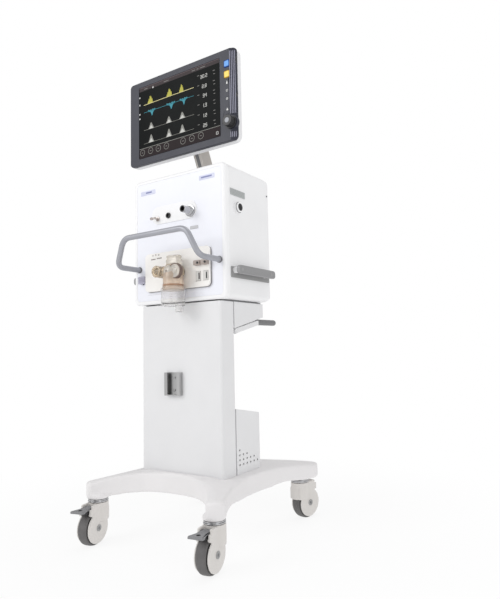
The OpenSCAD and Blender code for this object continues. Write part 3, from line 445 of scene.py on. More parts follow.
def shaded(name, mesh, smooth_deg, bevel_mm):
    mesh.shade_smooth()
    mesh.set_sharp_from_angle(angle=math.radians(smooth_deg))
    obj = bpy.data.objects.new(name, mesh)
    bpy.context.scene.collection.objects.link(obj)
    if bevel_mm:
        bevel = obj.modifiers.new("edge", "BEVEL")
        bevel.width = bevel_mm * MM
        bevel.segments = 2
        bevel.limit_method = "ANGLE"
        bevel.angle_limit = math.radians(32)
        bevel.use_clamp_overlap = False
        normals = obj.modifiers.new("normals", "WEIGHTED_NORMAL")
        normals.keep_sharp = True
    return obj


def piece(name, parts, body, slot, stands_for=(), smooth_deg=35, bevel_mm=0):
    """A finished piece of the object, from (geometry, material) pairs."""
    obj = mesh_object(name, parts, smooth_deg, bevel_mm)
    return placed(obj, body, slot, stands_for)


def placed(obj, body, slot, stands_for):
    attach(obj, body)
    if stands_for:
        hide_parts(*stands_for)
    return obj


def welded_copy(node):
    """A CAD node's mesh with its seams closed and its flat faces whole."""
    mesh = bpy.data.meshes.new(node + "_copy")
    bm = bmesh.new()
    bm.from_mesh(NODES[node].data)
    bmesh.ops.remove_doubles(bm, verts=bm.verts, dist=1e-6)
    bmesh.ops.dissolve_limit(bm, angle_limit=math.radians(0.8), verts=bm.verts, edges=bm.edges)
    bm.to_mesh(mesh)
    bm.free()
    return mesh


BODY_OF = {node: body for body, members in frame["record"]["behaviour"]["bodies"].items()
           for node in members}
SLOT_OF = {s["node"]: s["material_slot"] for s in frame["record"]["subparts"]}


def finished(node, finish, bevel_mm=0.6, smooth_deg=35):
    """A CAD node's own shape with real rounded edges."""
    mesh = welded_copy(node)
    mesh.materials.append(finish)
    obj = shaded(node + "_finished", mesh, smooth_deg, bevel_mm)
    return placed(obj, BODY_OF[node], SLOT_OF[node], [node])


def moulded(node, finish, voxel_mm, passes):
    """A CAD node's shape with soft, cast-looking edges: remeshed evenly and then relaxed."""
    mesh = welded_copy(node)
    source = bpy.data.objects.new(node + "_source", mesh)
    bpy.context.scene.collection.objects.link(source)
    remesh = source.modifiers.new("remesh", "REMESH")
    remesh.mode = "VOXEL"
    remesh.voxel_size = voxel_mm * MM
    relax = source.modifiers.new("relax", "SMOOTH")
    relax.factor = 0.5
    relax.iterations = passes
    evaluated = source.evaluated_get(bpy.context.evaluated_depsgraph_get())
    soft = bpy.data.meshes.new_from_object(evaluated)
    bpy.data.objects.remove(source)
    soft.materials.clear()
    soft.materials.append(finish)
    obj = shaded(node + "_finished", soft, 60, 0)
    return placed(obj, BODY_OF[node], SLOT_OF[node], [node])


# ---------------------------------------------------------------- small shapes

def bar(u0, u1, v0, v1, back, front, place):
    return prism([(u0, v0), (u1, v0), (u1, v1), (u0, v1)], place, back, front)


def ring(u, v, outer, inner, back, front, place, sides=40):
    """Flat ring; its place is moved to (u, v)."""
    profile = [(inner, back), (inner, front), (outer, front), (outer, back)]
    return lathe(profile, lambda a, b, d: place(u + a, v + b, d), 0.05, sides, hollow=True)


def frame_of_bars(u, v, w, h, t, back, front, place):
    """Hollow rectangle made of four bars."""
    u0, u1, v0, v1 = u - w / 2, u + w / 2, v - h / 2, v + h / 2
    sides = ((u0, u1, v1 - t, v1), (u0, u1, v0, v0 + t), (u0, u0 + t, v0, v1), (u1 - t, u1, v0, v1))
    return join(*(bar(*side, back, front, place) for side in sides))


def ribbon(points, width, back, front, place):
    """Raised line through (u, v) points."""
    upper = [(u, v + width / 2) for u, v in reversed(points)]
    lower = [(u, v - width / 2) for u, v in points]
    return prism(lower + upper, place, back, front)


def screw_head(place, r, face, outward, rise=1.4):
    """Low round head with a round recess; outward is the sign of the depth axis."""
    shoulder, top, recess = (face + outward * rise * share for share in (0.6, 1, 0.3))
    profile = [(0, face), (r, face), (r, shoulder), (r * 0.8, top), (r * 0.45, top),
               (r * 0.4, recess), (0, recess)]
    return lathe(profile, place, 0.25, 24)


# ---------------------------------------------------------------- cart

def around_axle(name):
    """Maps (along, up, depth) around a wheel's own axle, turned as its caster stands."""
    joint = JOINTS[name + "_roll"]
    centre = Vector(joint["pos_m"]) / MM
    across = Vector(joint["axis"]).normalized()
    along = Vector((-across.y, across.x, 0))
    return lambda u, v, d: tuple(centre + along * u + across * d + Vector((0, 0, v)))


def over_pedal(name):
    """Maps (across, outward, up) from the middle of a pedal's pin."""
    joint = JOINTS[name + "_brake"]
    centre = Vector(joint["pos_m"]) / MM
    across = Vector(joint["axis"]).normalized()
    outward = Vector((across.y, -across.x, 0))
    return lambda u, v, d: tuple(centre + across * u + outward * v + Vector((0, 0, d)))


def add_base():
    moulded("base_casting", BASE_PAINT, 3.2, 26)
    stems = span("caster_stems")
    ring_h = 9
    ring_r = 30
    rings = []
    for caster in CASTERS:
        x, y, _ = Vector(JOINTS[caster + "_swivel"]["pos_m"]) / MM
        top = span(caster + "_fork").z1 + ring_h + 0.4
        place = facing_up(x, y)
        profile = [(0, top - ring_h), (ring_r - 2, top - ring_h), (ring_r, top - 7),
                   (ring_r, top - 4.6), (ring_r - 3, top - 4), (ring_r - 3, top - 2.4),
                   (ring_r - 1, top - 2), (ring_r - 1, top), (0, top)]
        pin = [(0, stems.z0), (6, stems.z0), (6, top + 10), (0, top + 10)]
        rings += [(lathe(profile, place), CHROME), (lathe(pin, place), STAINLESS)]
    piece("caster_rings", rings, "cart", "chrome_metal", ["caster_stems"])


def add_caster(name):
    """Hooded fork, tyre with a rounded tread, hub, and a cap on each end of the axle."""
    place = around_axle(name)
    # The hoods' colour is darkened as painted shade.
    moulded(name + "_fork", SHADED_HOOD_PLASTIC, 1.3, 4)
    r = 50
    side = [(38, 13), (r - 5, 14), (r - 3.5, 14.8), (r - 1, 11.5), (r - 0.1, 7)]
    tread = [(a, -b) for a, b in side] + [(r, 0)] + [(a, b) for a, b in reversed(side)]
    piece(name + "_tread", [(lathe(tread, place, 1.2, 96, hollow=True), TYRE_RUBBER)],
          name + "_wheel", "tyre_rubber", [name + "_tyre"], smooth_deg=50)
    finished(name + "_hub", MID_PLASTIC, 0.5)
    caps = []
    for face in (-24.5, 24.5):
        way = math.copysign(1, face)
        cap = [(0, face - way * 3.5), (9.6, face - way * 3.5), (9.6, face - way * 0.3), (8.2, face),
               (5.4, face), (5.0, face - way * 0.8), (0, face - way * 0.8)]
        button = [(0, face - way * 1.2), (3.6, face - way * 1.2), (3.6, face - way * 0.4),
                  (2.8, face - way * 0.1), (0, face - way * 0.1)]
        caps += [(lathe(cap, place, 0.4), MID_PLASTIC), (lathe(button, place, 0.2), GREY_PLASTIC)]
    piece(name + "_axle_caps", caps, name + "_caster", "grey_plastic")
    if name.startswith("front"):
        add_pedal(name)


def add_pedal(name):
    """Fish-tail brake pedal with a hole, and the dark block under it, which paints the shade in the
    gap between pedal and fork.
    """
    finished(name + "_pedal", PEDAL_PLASTIC, 1.0)
    place = over_pedal(name)
    hole_at = 44
    grommet = lathe([(3.6, -2.6), (4.0, -2.6), (4.0, 3.9), (5.6, 4.0), (5.6, 4.5), (3.6, 4.5)],
                    lambda u, v, d: place(u, v + hole_at, d), 0.15, 32, hollow=True)
    # Dark block where the gap between pedal and fork lies in shade: painted shade.
    gap_shade = stack([(21, 12, 1.5, -13.2), (24, 14, 2, -11.4), (24, 14, 2, -2.2)],
                 lambda u, v, d: place(u, v + 24, d), 4)
    piece(name + "_grommet_and_shade_block", [(grommet, DARK_PLASTIC), (gap_shade, DARK_PLASTIC)],
          name + "_pedal", "dark_plastic")


# ---------------------------------------------------------------- column

def add_column():
    # The cart's paint is darker than the housing's white as painted shade.
    finished("column_shell", SHADED_CART_PAINT, 0.8)
    finished("column_gusset", SHADED_CART_PAINT, 0.15)
    finished("lower_box", SHADED_CART_PAINT, 0.15)
    finished("humidifier_bracket", STAINLESS, 0.5)
    # Recessed plate under the housing, darkened as painted shade.
    finished("docking_plate", DOCK_SHADE_DARK, 1.0)
    finished("dock_lever_arm", SHADED_CART_PAINT, 1.2)
    finished("dock_lever_grip", GREY_PLASTIC, 0)
    screws = span("bracket_screws")
    heads = []
    for z in (screws.z0 + 4.5, screws.z1 - 4.5):
        profile = [(0, screws.y1), (4.5, screws.y1 - 2), (4.5, screws.y0 + 1), (3.4, screws.y0),
                   (1.9, screws.y0), (1.7, screws.y0 + 1.3), (0, screws.y0 + 1.3)]
        heads.append((lathe(profile, facing_front(screws.x, z), 0.4), STAINLESS))
    column = span("column_shell")
    gusset, box = span("column_gusset"), span("lower_box")
    seams = []
    for x in (column.x0 + 0.6, column.x1 - 0.6):
        for z0, z1 in ((gusset.z0 + 12, gusset.z1), (box.z0 + 17, box.z1 - 2)):
            path = [(x, column.y1, z0), (x, column.y1, (z0 + z1) / 2), (x, column.y1, z1)]
            seams.append((tube(path, 0.85, 10), SEAM_WHITE))
    piece("seam_beads", seams, "cart", "white_paint")
    piece("bracket_screw_heads", heads, "cart", "stainless", ["bracket_screws"])


# ---------------------------------------------------------------- housing

def add_housing():
    finished("housing_shell", WHITE_PAINT, 1.6)
    finished("front_panel", PANEL_PLASTIC, 0.4)
    finished("rear_panel", WHITE_PAINT, 0.6)
    finished("gas_inlets", CHROME, 0.5)
    finished("power_inlet", DARK_PLASTIC, 0.5)
    f = span("front_frame")
    panel = span("front_panel")
    border = 1.6
    outer_edge = 8
    place = facing_front(f.x, f.z)
    layers = [(f.w - 6, f.h - 6, 13, f.y1), (f.w, f.h, 16, f.y1 - 1.5)]
    layers += [(f.w - 2 * i, f.h - 2 * i, 16 - i * 0.5, depth)
               for i, depth in rim(outer_edge, f.y0, -1, 6)]
    layers += [(panel.w + 2 * border - 2 * i, panel.h + 2 * border - 2 * i, 11,
                f.y0 + border - depth)
               for i, depth in ((0, border), (border * 0.6, border * 0.8), (border, 0))]
    layers += [(panel.w, panel.h, 10, panel.y1), (panel.w, panel.h, 10, f.y1)]
    piece("front_surround", [(stack(layers, place, 8, closed=True), WHITE_PLASTIC)], "cart",
          "white_plastic", ["front_frame"], smooth_deg=50)


def add_front_plates():
    """Two blank name plates with a dark bar each, a grey rounded bar and a thin line on the front
    panel.
    """
    face = span("front_panel").y0
    back = face + 0.4
    parts = []
    for x, z, w, bar_x, bar_w in ((-126, 1079, 64, -122, 26), (119.5, 1086, 59, 119, 42)):
        name_plate = plate(w, 14, 2, back, face - 0.9, 0.4, facing_front(x, z))
        dark_bar = plate(bar_w, 5, 1, face - 0.8, face - 1.2, 0.15, facing_front(bar_x, z + 0.5))
        parts += [(name_plate, LABEL_PLASTIC), (dark_bar, LABEL_INK)]
    parts.append((plate(32, 10, 1.5, back, face - 1.4, 0.5, facing_front(68, 937)), FRONT_BAR_GREY))
    parts.append((bar(-128, -52, 741.6, 742.4, back, face - 0.3, facing_front(0, 0)), FRONT_BAR_GREY))
    piece("front_plates", parts, "cart", "panel_plastic")


def add_side_details():
    """Rails with a dark grey band along each, on both sides, and the right side's plate and knob.
    """
    wall = SIDE_WALL
    finished("side_knob", DARK_PLASTIC, 0.8)
    finished("side_rails", RAIL_METAL, 1.2)
    finished("rail_spacers", WHITE_PLASTIC, 0.8)
    knob = span("side_knob")
    rail = span("side_rails")
    plate_place = facing_side(-46, 1036)
    parts = [(plate(74, 20, 1.5, wall - 0.5, wall + 1.2, 0.4, plate_place), PLATE_GREY)]
    parts += [(bar(-34, 34, v - 0.5, v + 0.5, wall + 1.0, wall + 1.45, plate_place), PLATE_LINE)
              for v in (-6, -2, 2, 6)]
    piece("side_plate", parts, "cart", "grey_plastic")
    knob_place = facing_side(knob.y, knob.z)
    bright_ring = [(14.9, wall + 8.6), (14.9, wall + 9.2), (16.9, wall + 9.2), (16.9, wall + 8.6)]
    plug = screw_head(facing_side(118, 1064), 2.6, wall - 0.3, 1, 0.9)
    piece("side_trim", [(lathe(bright_ring, knob_place, 0.2, 48, hollow=True), CHROME),
                        (plug, DARK_PLASTIC)],
          "cart", "white_plastic")
    edge = [(11.4, knob.x1 - 1), (11.4, knob.x1 + 0.3), (12.2, knob.x1 + 0.7),
            (14.2, knob.x1 + 0.4), (14.9, knob.x1 - 0.4), (14.9, knob.x1 - 4)]
    piece("knob_rim", [(lathe(edge, knob_place, 0.3, 48, hollow=True), WHITE_PLASTIC)],
          BODY_OF["side_knob"], "dark_plastic")
    for way, name in ((1, "right"), (-1, "left")):
        # Dark grey band on the side wall, along and below each rail.
        band = plate(205, 33, 3, way * (wall - 0.5), way * (wall + 0.9), 0.4,
                     facing_side(16.5, 791.5))
        heads = [screw_head(facing_side(y, rail.z), 4.6, way * (rail.x1 - 0.2), way, 0.9)
                 for y in (rail.y0 + 18, rail.y1 - 22)]
        piece("rail_dark_band_" + name, [(band, BAND_GREY)], "cart", "grey_plastic")
        piece("rail_screws_" + name, [(head, STAINLESS) for head in heads], "cart", "stainless")


def add_rear_details():
    """Screws of the rear panel, and a blank rating plate."""
    panel = span("rear_panel")
    reach_x, reach_z = panel.w / 2 - 9, panel.h / 2 - 9
    parts = [(screw_head(facing_front(panel.x + sx * reach_x, panel.z + sz * reach_z),
                         4, panel.y1, 1, 1.8), STAINLESS)
             for sx in (-1, 0, 1) for sz in (-1, 1)]
    rating = plate(52, 30, 2, panel.y1 - 0.3, panel.y1 + 0.5, 0.2, facing_front(-90, 850))
    piece("rear_screws", parts + [(rating, LABEL_PLASTIC)], "cart", "stainless")


# ---------------------------------------------------------------- front

def add_ports():
    """Chromed inspiratory port with its dark bore, the small nipple and the sensor socket. The
    bore's darkness is painted shade: a dark plug inside it and a dark ring at its mouth.
    """
    finished("port_panel", WHITE_PLASTIC, 0.9)
    port = span("inspiratory_port")
    place = facing_front(port.x, port.z)
    outer, bore, mouth = 11, 7.5, port.y0
    wall = [(bore, mouth + 0.6), (bore + 0.7, mouth), (outer - 0.6, mouth), (outer, mouth + 0.7),
            (outer, -124), (14, -123), (14, -117.6), (18, -117.4), (18, -111.5), (outer, -111.5),
            (outer, port.y1), (bore, port.y1)]
    # Dark plug in the bore with a dark ring at the mouth: painted shade inside the tube.
    dark_insert = [(0, -112), (bore + 0.2, -112), (bore + 0.2, mouth + 1), (bore + 2.5, mouth + 0.4),
              (bore + 2.5, mouth - 0.15), (bore - 0.25, mouth - 0.15), (bore - 0.25, -114),
              (0, -114)]
    piece("inspiratory_tube", [(lathe(wall, place, 0.5, 64, hollow=True), CHROME),
                               (lathe(dark_insert, place, 0.1, 48), DARK_PLASTIC)],
          "cart", "chrome_metal", ["inspiratory_port"])
    finished("nebuliser_nipple", NIPPLE_METAL, 0.3)
    finished("sensor_socket", DARK_PLASTIC, 0.5)


def add_module():
    """Expiratory module: a dark plate along its edges as painted shadow, small printed marks, and
    the sensor sockets' fronts.
    """
    finished("module_housing", CREAM_PLASTIC, 1.6)
    finished("module_latch", LATCH_PLASTIC, 0.8)
    module = span("module_housing")
    face = module.y0
    # Dark plate standing just past the module's bottom and right edges: painted shadow in the gap.
    shadow_plate = plate(module.w + 1.6, module.h + 0.6, 14.5, face + 8.5, face + 6.4, 0.3,
                facing_front(module.x + 0.8, module.z - 1.2))
    piece("module_painted_shadow", [(shadow_plate, PAINTED_SHADOW_DARK)], "cart", "dark_plastic")
    place = facing_front(0, 0)
    back, front = face + 0.3, face - 0.3
    marks = [ring(-96, 866, 2.6, 1.6, back, front, place, 20),
             ring(-84, 867, 3.0, 1.8, back, front, place, 20),
             frame_of_bars(-71, 866, 5, 4.4, 1, back, front, place),
             bar(-104, -85, 852, 855.5, back, front, place),
             bar(-79, -58, 853.5, 857, back, front, place)]
    piece("module_marks", [(mark, MARK_GREY) for mark in marks], "cart", "grey_plastic")
    outer = [(18, 28, 1.5, face + 8.8), (18, 28, 1.5, face - 1.5), (17, 27, 1.2, face - 2)]
    slot = [(6, 21, 1.2, face - 2), (5, 20, 0.9, face - 1.5), (5, 20, 0.9, face + 5.8)]
    pin_end = [(0, face - 12), (3.4, face - 12), (3.4, face - 15), (2.4, face - 15.6),
               (0, face - 15.6)]
    parts = []
    for x in SENSOR_XS:
        slot_x = x + 4
        rings = [[facing_front(middle, SENSOR_Z)(u, v, d) for u, v in rounded(w, h, r)]
                 for middle, layers in ((x, outer), (slot_x, slot)) for w, h, r, d in layers]
        dark_insert = plate(5.4, 20.4, 1, face + 6, face - 1.2, 0.1, facing_front(slot_x, SENSOR_Z))
        outline = frame_of_bars(x, SENSOR_Z, 19, 29, 0.8, face + 0.3, face - 0.4, place)
        clip = plate(24, 15, 3, face + 0.2, face - 12, 2.2, facing_front(x + 1, 823))
        plunger = lathe(pin_end, facing_front(x + 7, 822), 0.5, 24)
        parts += [(loft(rings, closed=True), SOCKET_PLASTIC), (dark_insert, DARK_PLASTIC),
                  (outline, MARK_GREY), (clip, CLIP_PLASTIC), (plunger, DARK_PLASTIC)]
    piece("sensor_sockets", parts, "cart", "grey_plastic", ["flow_sensor_sockets"])


def add_valve():
    """Translucent expiratory valve: chamber, port on the left, ball, disc, gas block, neck."""
    x, y, z = VALVE_X, VALVE_Y, VALVE_Z
    port_x, port_z = x - 53, z + 2
    trap_top = 750
    spigot = [(0, -111), (17, -111), (17, y), (0, y)]
    trunk = [(0, y + 26), (24, y + 26), (24, y - 8), (20, y - 14), (0, y - 15)]
    neck = [(0, trap_top - 7.5), (33.4, trap_top - 7.5), (33.4, trap_top + 0.4),
            (31, trap_top + 1.5), (31, trap_top + 6), (30, trap_top + 7), (30, z - 18),
            (28, z - 6), (22, z + 8), (0, z + 12)]
    band = [(29, trap_top + 5), (30.9, trap_top + 5.4), (30.9, trap_top + 11),
            (29, trap_top + 11.4)]
    ribs = [(0, port_x - 10), (13, port_x - 10), (15.6, port_x - 8)]
    for i in range(5):
        start = port_x - 6 + i * 10
        ribs += [(16, start), (16, start + 5), (14.4, start + 6), (14.4, start + 9)]
    ribs += [(16, x - 2), (0, x - 2)]
    front_up = facing_front(x, z)
    parts = [(lathe(spigot, front_up, 0.5), AMBER_PLASTIC),
             (lathe(trunk, front_up, 2), AMBER_PLASTIC),
             (lathe(neck, facing_up(x, y), 1.5, 64), DEEP_AMBER),
             (lathe(ribs, facing_side(y, port_z), 0.6), AMBER_PLASTIC)]
    piece("valve_shell", parts, "expiratory_valve", "amber_plastic", ["valve_body"], smooth_deg=50)
    port = [(11, y + 2), (11, y - 18), (12, y - 19), (16.6, y - 19), (18, y - 17.6), (18, y - 9),
            (16.4, y - 8), (16.4, y - 2), (18, y - 1), (18, y + 12), (15, y + 14), (11, y + 14)]
    floor_disc = [(0, y + 2), (11.2, y + 2), (11.2, y + 0.8), (4, y + 0.6), (0, y + 0.6)]
    port_place = facing_front(port_x, port_z)
    piece("valve_port", [(lathe(port, port_place, 0.8, 56, hollow=True), AMBER_PLASTIC),
                         (lathe(floor_disc, port_place, 0.3), BROWN_RUBBER)],
          "expiratory_valve", "amber_plastic")
    ball = [(0, y - 8), (21, y - 10), (20, y - 18), (15, y - 24), (8, y - 27.4), (0, y - 28)]
    dot = [(0, y - 27.6), (2.4, y - 27.6), (2.4, y - 28.6), (1.6, y - 29), (0, y - 29)]
    collar = [(19.5, y - 14), (22.5, y - 14.5), (22.5, y - 17.5), (19.5, y - 18)]
    ball_place = facing_front(x - 1, z - 2)
    piece("valve_ball", [(lathe(ball, ball_place, 3, 56), PALE_AMBER),
                         (lathe(dot, ball_place, 0.3, 20), BROWN_RUBBER),
                         (lathe(collar, ball_place, 0.8, 56, hollow=True), AMBER_PLASTIC)],
          "expiratory_valve", "amber_plastic", smooth_deg=60)
    block = [(44, 24, 3, z + 12), (46, 26, 4, z + 14), (46, 26, 4, z + 34), (42, 24, 5, z + 36),
             (42, 24, 5, z + 39), (44, 25, 5, z + 41), (44, 25, 5, z + 46), (38, 20, 6, z + 48)]
    piece("valve_gas_block", [(stack(block, facing_up(x + 4, y + 1), 6), PALE_AMBER)],
          "expiratory_valve", "amber_plastic", smooth_deg=50)
    piece("valve_band", [(lathe(band, facing_up(x, y), 0.6, 64, hollow=True), BAND_AMBER)],
          "expiratory_valve", "amber_plastic")
    disc = span("valve_disc")
    disc_place = facing_front(disc.x, disc.z)
    face = [(0, disc.y1), (21, disc.y1), (21, disc.y0 + 2), (19, disc.y0 + 0.6),
            (15, disc.y0 + 0.6), (14, disc.y0 + 1.6), (9, disc.y0 + 1.6), (8, disc.y0 + 0.4),
            (0, disc.y0 + 0.4)]
    edge = [(20.4, disc.y1), (23, disc.y1 - 0.6), (23, disc.y0 + 1.6), (21.8, disc.y0),
            (20.4, disc.y0 + 0.8)]
    piece("valve_disc_face", [(lathe(face, disc_place, 0.6, 56), PALE_AMBER),
                              (lathe(edge, disc_place, 0.5, 56, hollow=True), BROWN_RUBBER)],
          "expiratory_valve", "dark_plastic", ["valve_disc"], smooth_deg=50)


def add_trap():
    """Clear cup with a rim, level marks and a narrow foot."""
    trap = span("water_trap")
    x, y = VALVE_X, VALVE_Y
    top, floor_z, foot_z = trap.z1, trap.z0 + 19, trap.z0
    cup = [(34, top), (34, floor_z + 3), (31, floor_z + 1.8), (0.2, floor_z + 1.8),
           (0.2, floor_z), (32, floor_z), (35, floor_z + 1), (35.4, floor_z + 4),
           (35.4, top - 6), (36, top - 5.4), (36, top)]
    nub = [(9, floor_z + 1), (9, foot_z + 2), (0.2, foot_z + 2), (0.2, foot_z), (9.4, foot_z),
           (11, foot_z + 1.6), (11, floor_z + 1)]
    piece("trap_cup", [(lathe(cup, facing_up(x, y), 0.8, 72, hollow=True), SMOKE_PLASTIC),
                       (lathe(nub, facing_up(x + 24, y), 0.6, 48, hollow=True), SMOKE_PLASTIC)],
          "water_trap", "clear_plastic", ["water_trap"], smooth_deg=50)
    marks = []
    steps = 6
    bar_section = ((35.2, -0.5), (35.7, -0.5), (35.7, 0.5), (35.2, 0.5))
    for k in range(5):
        z = floor_z + 12 + k * 7
        start, end = (math.radians(a) for a in ((-64, -52) if k % 2 else (-68, -48)))
        angles = [start + (end - start) * i / steps for i in range(steps + 1)]
        rings = [[(x + r * math.cos(a), y + r * math.sin(a), z + h) for r, h in bar_section]
                 for a in angles]
        marks.append((loft(rings), MARK_GREY))
    piece("trap_marks", marks, "water_trap", "clear_plastic")


def add_handle():
    """One bent tube: out of the housing, forward and up on each side, and across."""
    handle = span("front_handle")
    r = 8.5
    foot_x = handle.x1 - r
    bar_z = handle.z1 - r
    bar_y = handle.y0 + r
    foot_z = handle.z0 + r
    corners = [(foot_x, handle.y1, foot_z), (foot_x, -203, foot_z), (126, bar_y, bar_z),
               (-126, bar_y, bar_z), (-foot_x, -203, foot_z), (-foot_x, handle.y1, foot_z)]
    path = round_corners(corners, 26, steps=14)
    piece("bent_handle", [(tube(path, r, 32), HANDLE_METAL)], "cart", "handle_metal",
          ["front_handle"])
    finished("handle_feet", GREY_PLASTIC, 0.8)


# ---------------------------------------------------------------- monitor

def add_monitor():
    """Arm, bezel, glass and keys from the CAD, and a stepped back cover with round edges."""
    finished("swivel_base", WHITE_PLASTIC, 1.0)
    finished("neck", NECK_METAL, 2.0)
    finished("tilt_bracket", STAINLESS, 0.6)
    finished("monitor_bezel", BEZEL_PLASTIC, 1.0)
    finished("screen_glass", SCREEN_GLASS, 0)
    finished("keypad_strip", BEZEL_PLASTIC, 0)
    finished("blue_key", BLUE_KEY, 0.3)
    finished("amber_key", AMBER_KEY, 0.3)
    finished("encoder_knob", DARK_PLASTIC, 0.6)
    finished("encoder_shaft", STAINLESS, 0.3)
    back = span("monitor_back")
    right_edge = span("monitor_bezel").x0 + BEZEL_W
    mid_x, width = (back.x0 + right_edge) / 2, right_edge - back.x0
    step_y = back.y1 - 12
    place = facing_front(mid_x, back.z)
    layers = [(width - 4, back.h - 4, 18, back.y0 + 0.01), (width, back.h, 20, back.y0 + 1.5)]
    layers += [(width - 2 * i, back.h - 2 * i, 20 - i * 0.5, depth)
               for i, depth in rim(8, step_y, 1, 5)]
    layers.append((width - 52, back.h - 52, 26, step_y + 0.6))
    layers += [(width - 64 - 2 * i, back.h - 62 - 2 * i, 24 - i * 0.5, depth)
               for i, depth in rim(6, back.y1, 1, 5)]
    # The cover's grey is painted shade on a white cover.
    piece("monitor_cover", [(stack(layers, place, 8), SHADED_COVER_PLASTIC)], "monitor", "white_plastic",
          ["monitor_back"], smooth_deg=50)
    bracket = span("tilt_bracket")
    plate_z = bracket.z1 - 60
    heads = [screw_head(facing_front(sx * 50, plate_z + sz * 50), 4.2, back.y1 + 3.9, 1, 2.2)
             for sx in (-1, 1) for sz in (-1, 1)]
    piece("bracket_screws_rear", [(head, STAINLESS) for head in heads], "monitor", "stainless")


def add_bezel_details():
    """Lit faces of the two keys, membrane icons, ridges and slits at the right end, knob's cap; the
    ridges and the cap are lighter as painted highlights.
    """
    for node, mark in (("blue_key", BLUE_MARK), ("amber_key", AMBER_MARK)):
        key = span(node)
        face = plate(16.5, 17, 3, key.y0 + 0.3, key.y0 - 0.25, 0.2, facing_front(key.x, key.z))
        piece(node + "_face", [(face, mark)], BODY_OF[node], SLOT_OF[node])
    strip = span("keypad_strip")
    back, front = strip.y0 + 0.2, strip.y0 - 0.3
    place = facing_front(187, 0)
    icons = [bar(-2.5, 2.5, 1369, 1375, back, front, place),
             bar(-1, 1, 1375, 1379, back, front, place),
             frame_of_bars(0, 1348, 7, 7, 1.2, back, front, place),
             ring(0, 1322, 3.6, 2.4, back, front, place, 24),
             bar(-0.6, 0.6, 1320, 1324, back, front, place),
             bar(-3, 3, 1285, 1289, back, front, place),
             bar(-1.6, 1.6, 1289, 1292.5, back, front, place)]
    piece("membrane_icons", [(icon, BRIGHT_MARK) for icon in icons], "monitor", "bezel_plastic")
    bezel = span("monitor_bezel")
    front_y, slope_x, slope = -88, 198, 9 / 21.5  # the bezel falls back from slope_x outwards
    ridges = []
    section = rounded(1.7, 1.6, 0.7, 3)
    # The ridges are real shapes; their light colour is a painted highlight.
    for x in (198.5, 203.5, 208.5, 213.5):
        depth = front_y + (x - slope_x) * slope
        for z0, z1 in ((bezel.z0 + 9, 1216), (1272, bezel.z1 - 9)):
            rings = [[(x + u * grow, depth - 0.3 + v * grow, z) for u, v in section]
                     for z, grow in ((z0, 0.4), (z0 + 2, 1), (z1 - 2, 1), (z1, 0.4))]
            ridges.append((loft(rings), RIDGE_HIGHLIGHT))
    piece("bezel_ridges", ridges, "monitor", "bezel_plastic", smooth_deg=50)
    slits = [(plate(2.6, h, 1.2, -79.4, -81.4, 0.2, facing_front(217.4, z)), DARK_PLASTIC)
             for z, h in ((1440, 24), (1330, 14))]
    piece("bezel_slits", slits, "monitor", "dark_plastic")
    # Slightly dished cap, lighter than the knob as a painted highlight.
    knob = span("encoder_knob")
    cap = [(0, knob.y0 + 0.5), (8, knob.y0 + 0.5), (8, knob.y0 - 0.2), (7, knob.y0 - 0.7),
           (5.5, knob.y0 - 0.5), (0, knob.y0 - 0.3)]
    piece("knob_dimple_highlight", [(lathe(cap, facing_front(knob.x, knob.z), 0.3, 40), KNOB_DIMPLE_HIGHLIGHT)],
          BODY_OF["encoder_knob"], "dark_plastic")


def add_neck_details():
    """Dark cable channel with light edges down the front of the slanted neck."""
    foot = Vector((0, 50, 1132))
    along = Vector((0, -0.406, 0.914))
    outward = Vector((0, -0.914, -0.406))

    def place(u, v, d):
        return tuple(foot + Vector((u, 0, 0)) + along * v + outward * d)

    length = 104
    layers = [(13, length, 1.5, 27.6), (13, length, 1.5, 28.1), (12.4, length - 0.6, 1.2, 28.5)]
    stripe = stack(layers, lambda u, v, d: place(u + 2, v + length / 2 + 10, d), 3)
    edges = [bar(u, u + 1.2, 8, length + 8, 27.6, 28.8, place) for u in (-7.2, 9.6)]
    piece("neck_channel", [(stripe, GREY_PLASTIC)] + [(edge, NECK_LIGHT) for edge in edges],
          BODY_OF["neck"], "handle_metal")


# ---------------------------------------------------------------- the picture on the screen

SEGMENTS = {"0": "abcdef", "1": "bc", "2": "abged", "3": "abgcd", "4": "fgbc", "5": "afgcd",
            "8": "abcdefg"}
DIALS = (-159, -121, -86, -50, 22, 59, 96)


def digit(char, u, v, back, front, place):
    """Seven-segment digit."""
    w, h, t = 6.8, 11.4, 1.35
    bars = {"a": (0, w, h - t, h), "d": (0, w, 0, t), "g": (0, w, (h - t) / 2, (h + t) / 2),
            "b": (w - t, w, h / 2, h), "c": (w - t, w, 0, h / 2), "e": (0, t, 0, h / 2),
            "f": (0, t, h / 2, h)}
    lit_bars = [bars[segment] for segment in SEGMENTS[char]]
    return join(*(bar(u + a, u + b, v + c - h / 2, v + d - h / 2, back, front, place)
                  for a, b, c, d in lit_bars))


def number(text, u, v, back, front, place):
    """Digits set from the left; a dot takes little room."""
    shapes = []
    for char in text:
        if char == ".":
            shapes.append(bar(u, u + 1.4, v - 5.5, v - 4.1, back, front, place))
            u += 3
        else:
            shapes.append(digit(char, u, v, back, front, place))
            u += 8.8
    return join(*shapes)


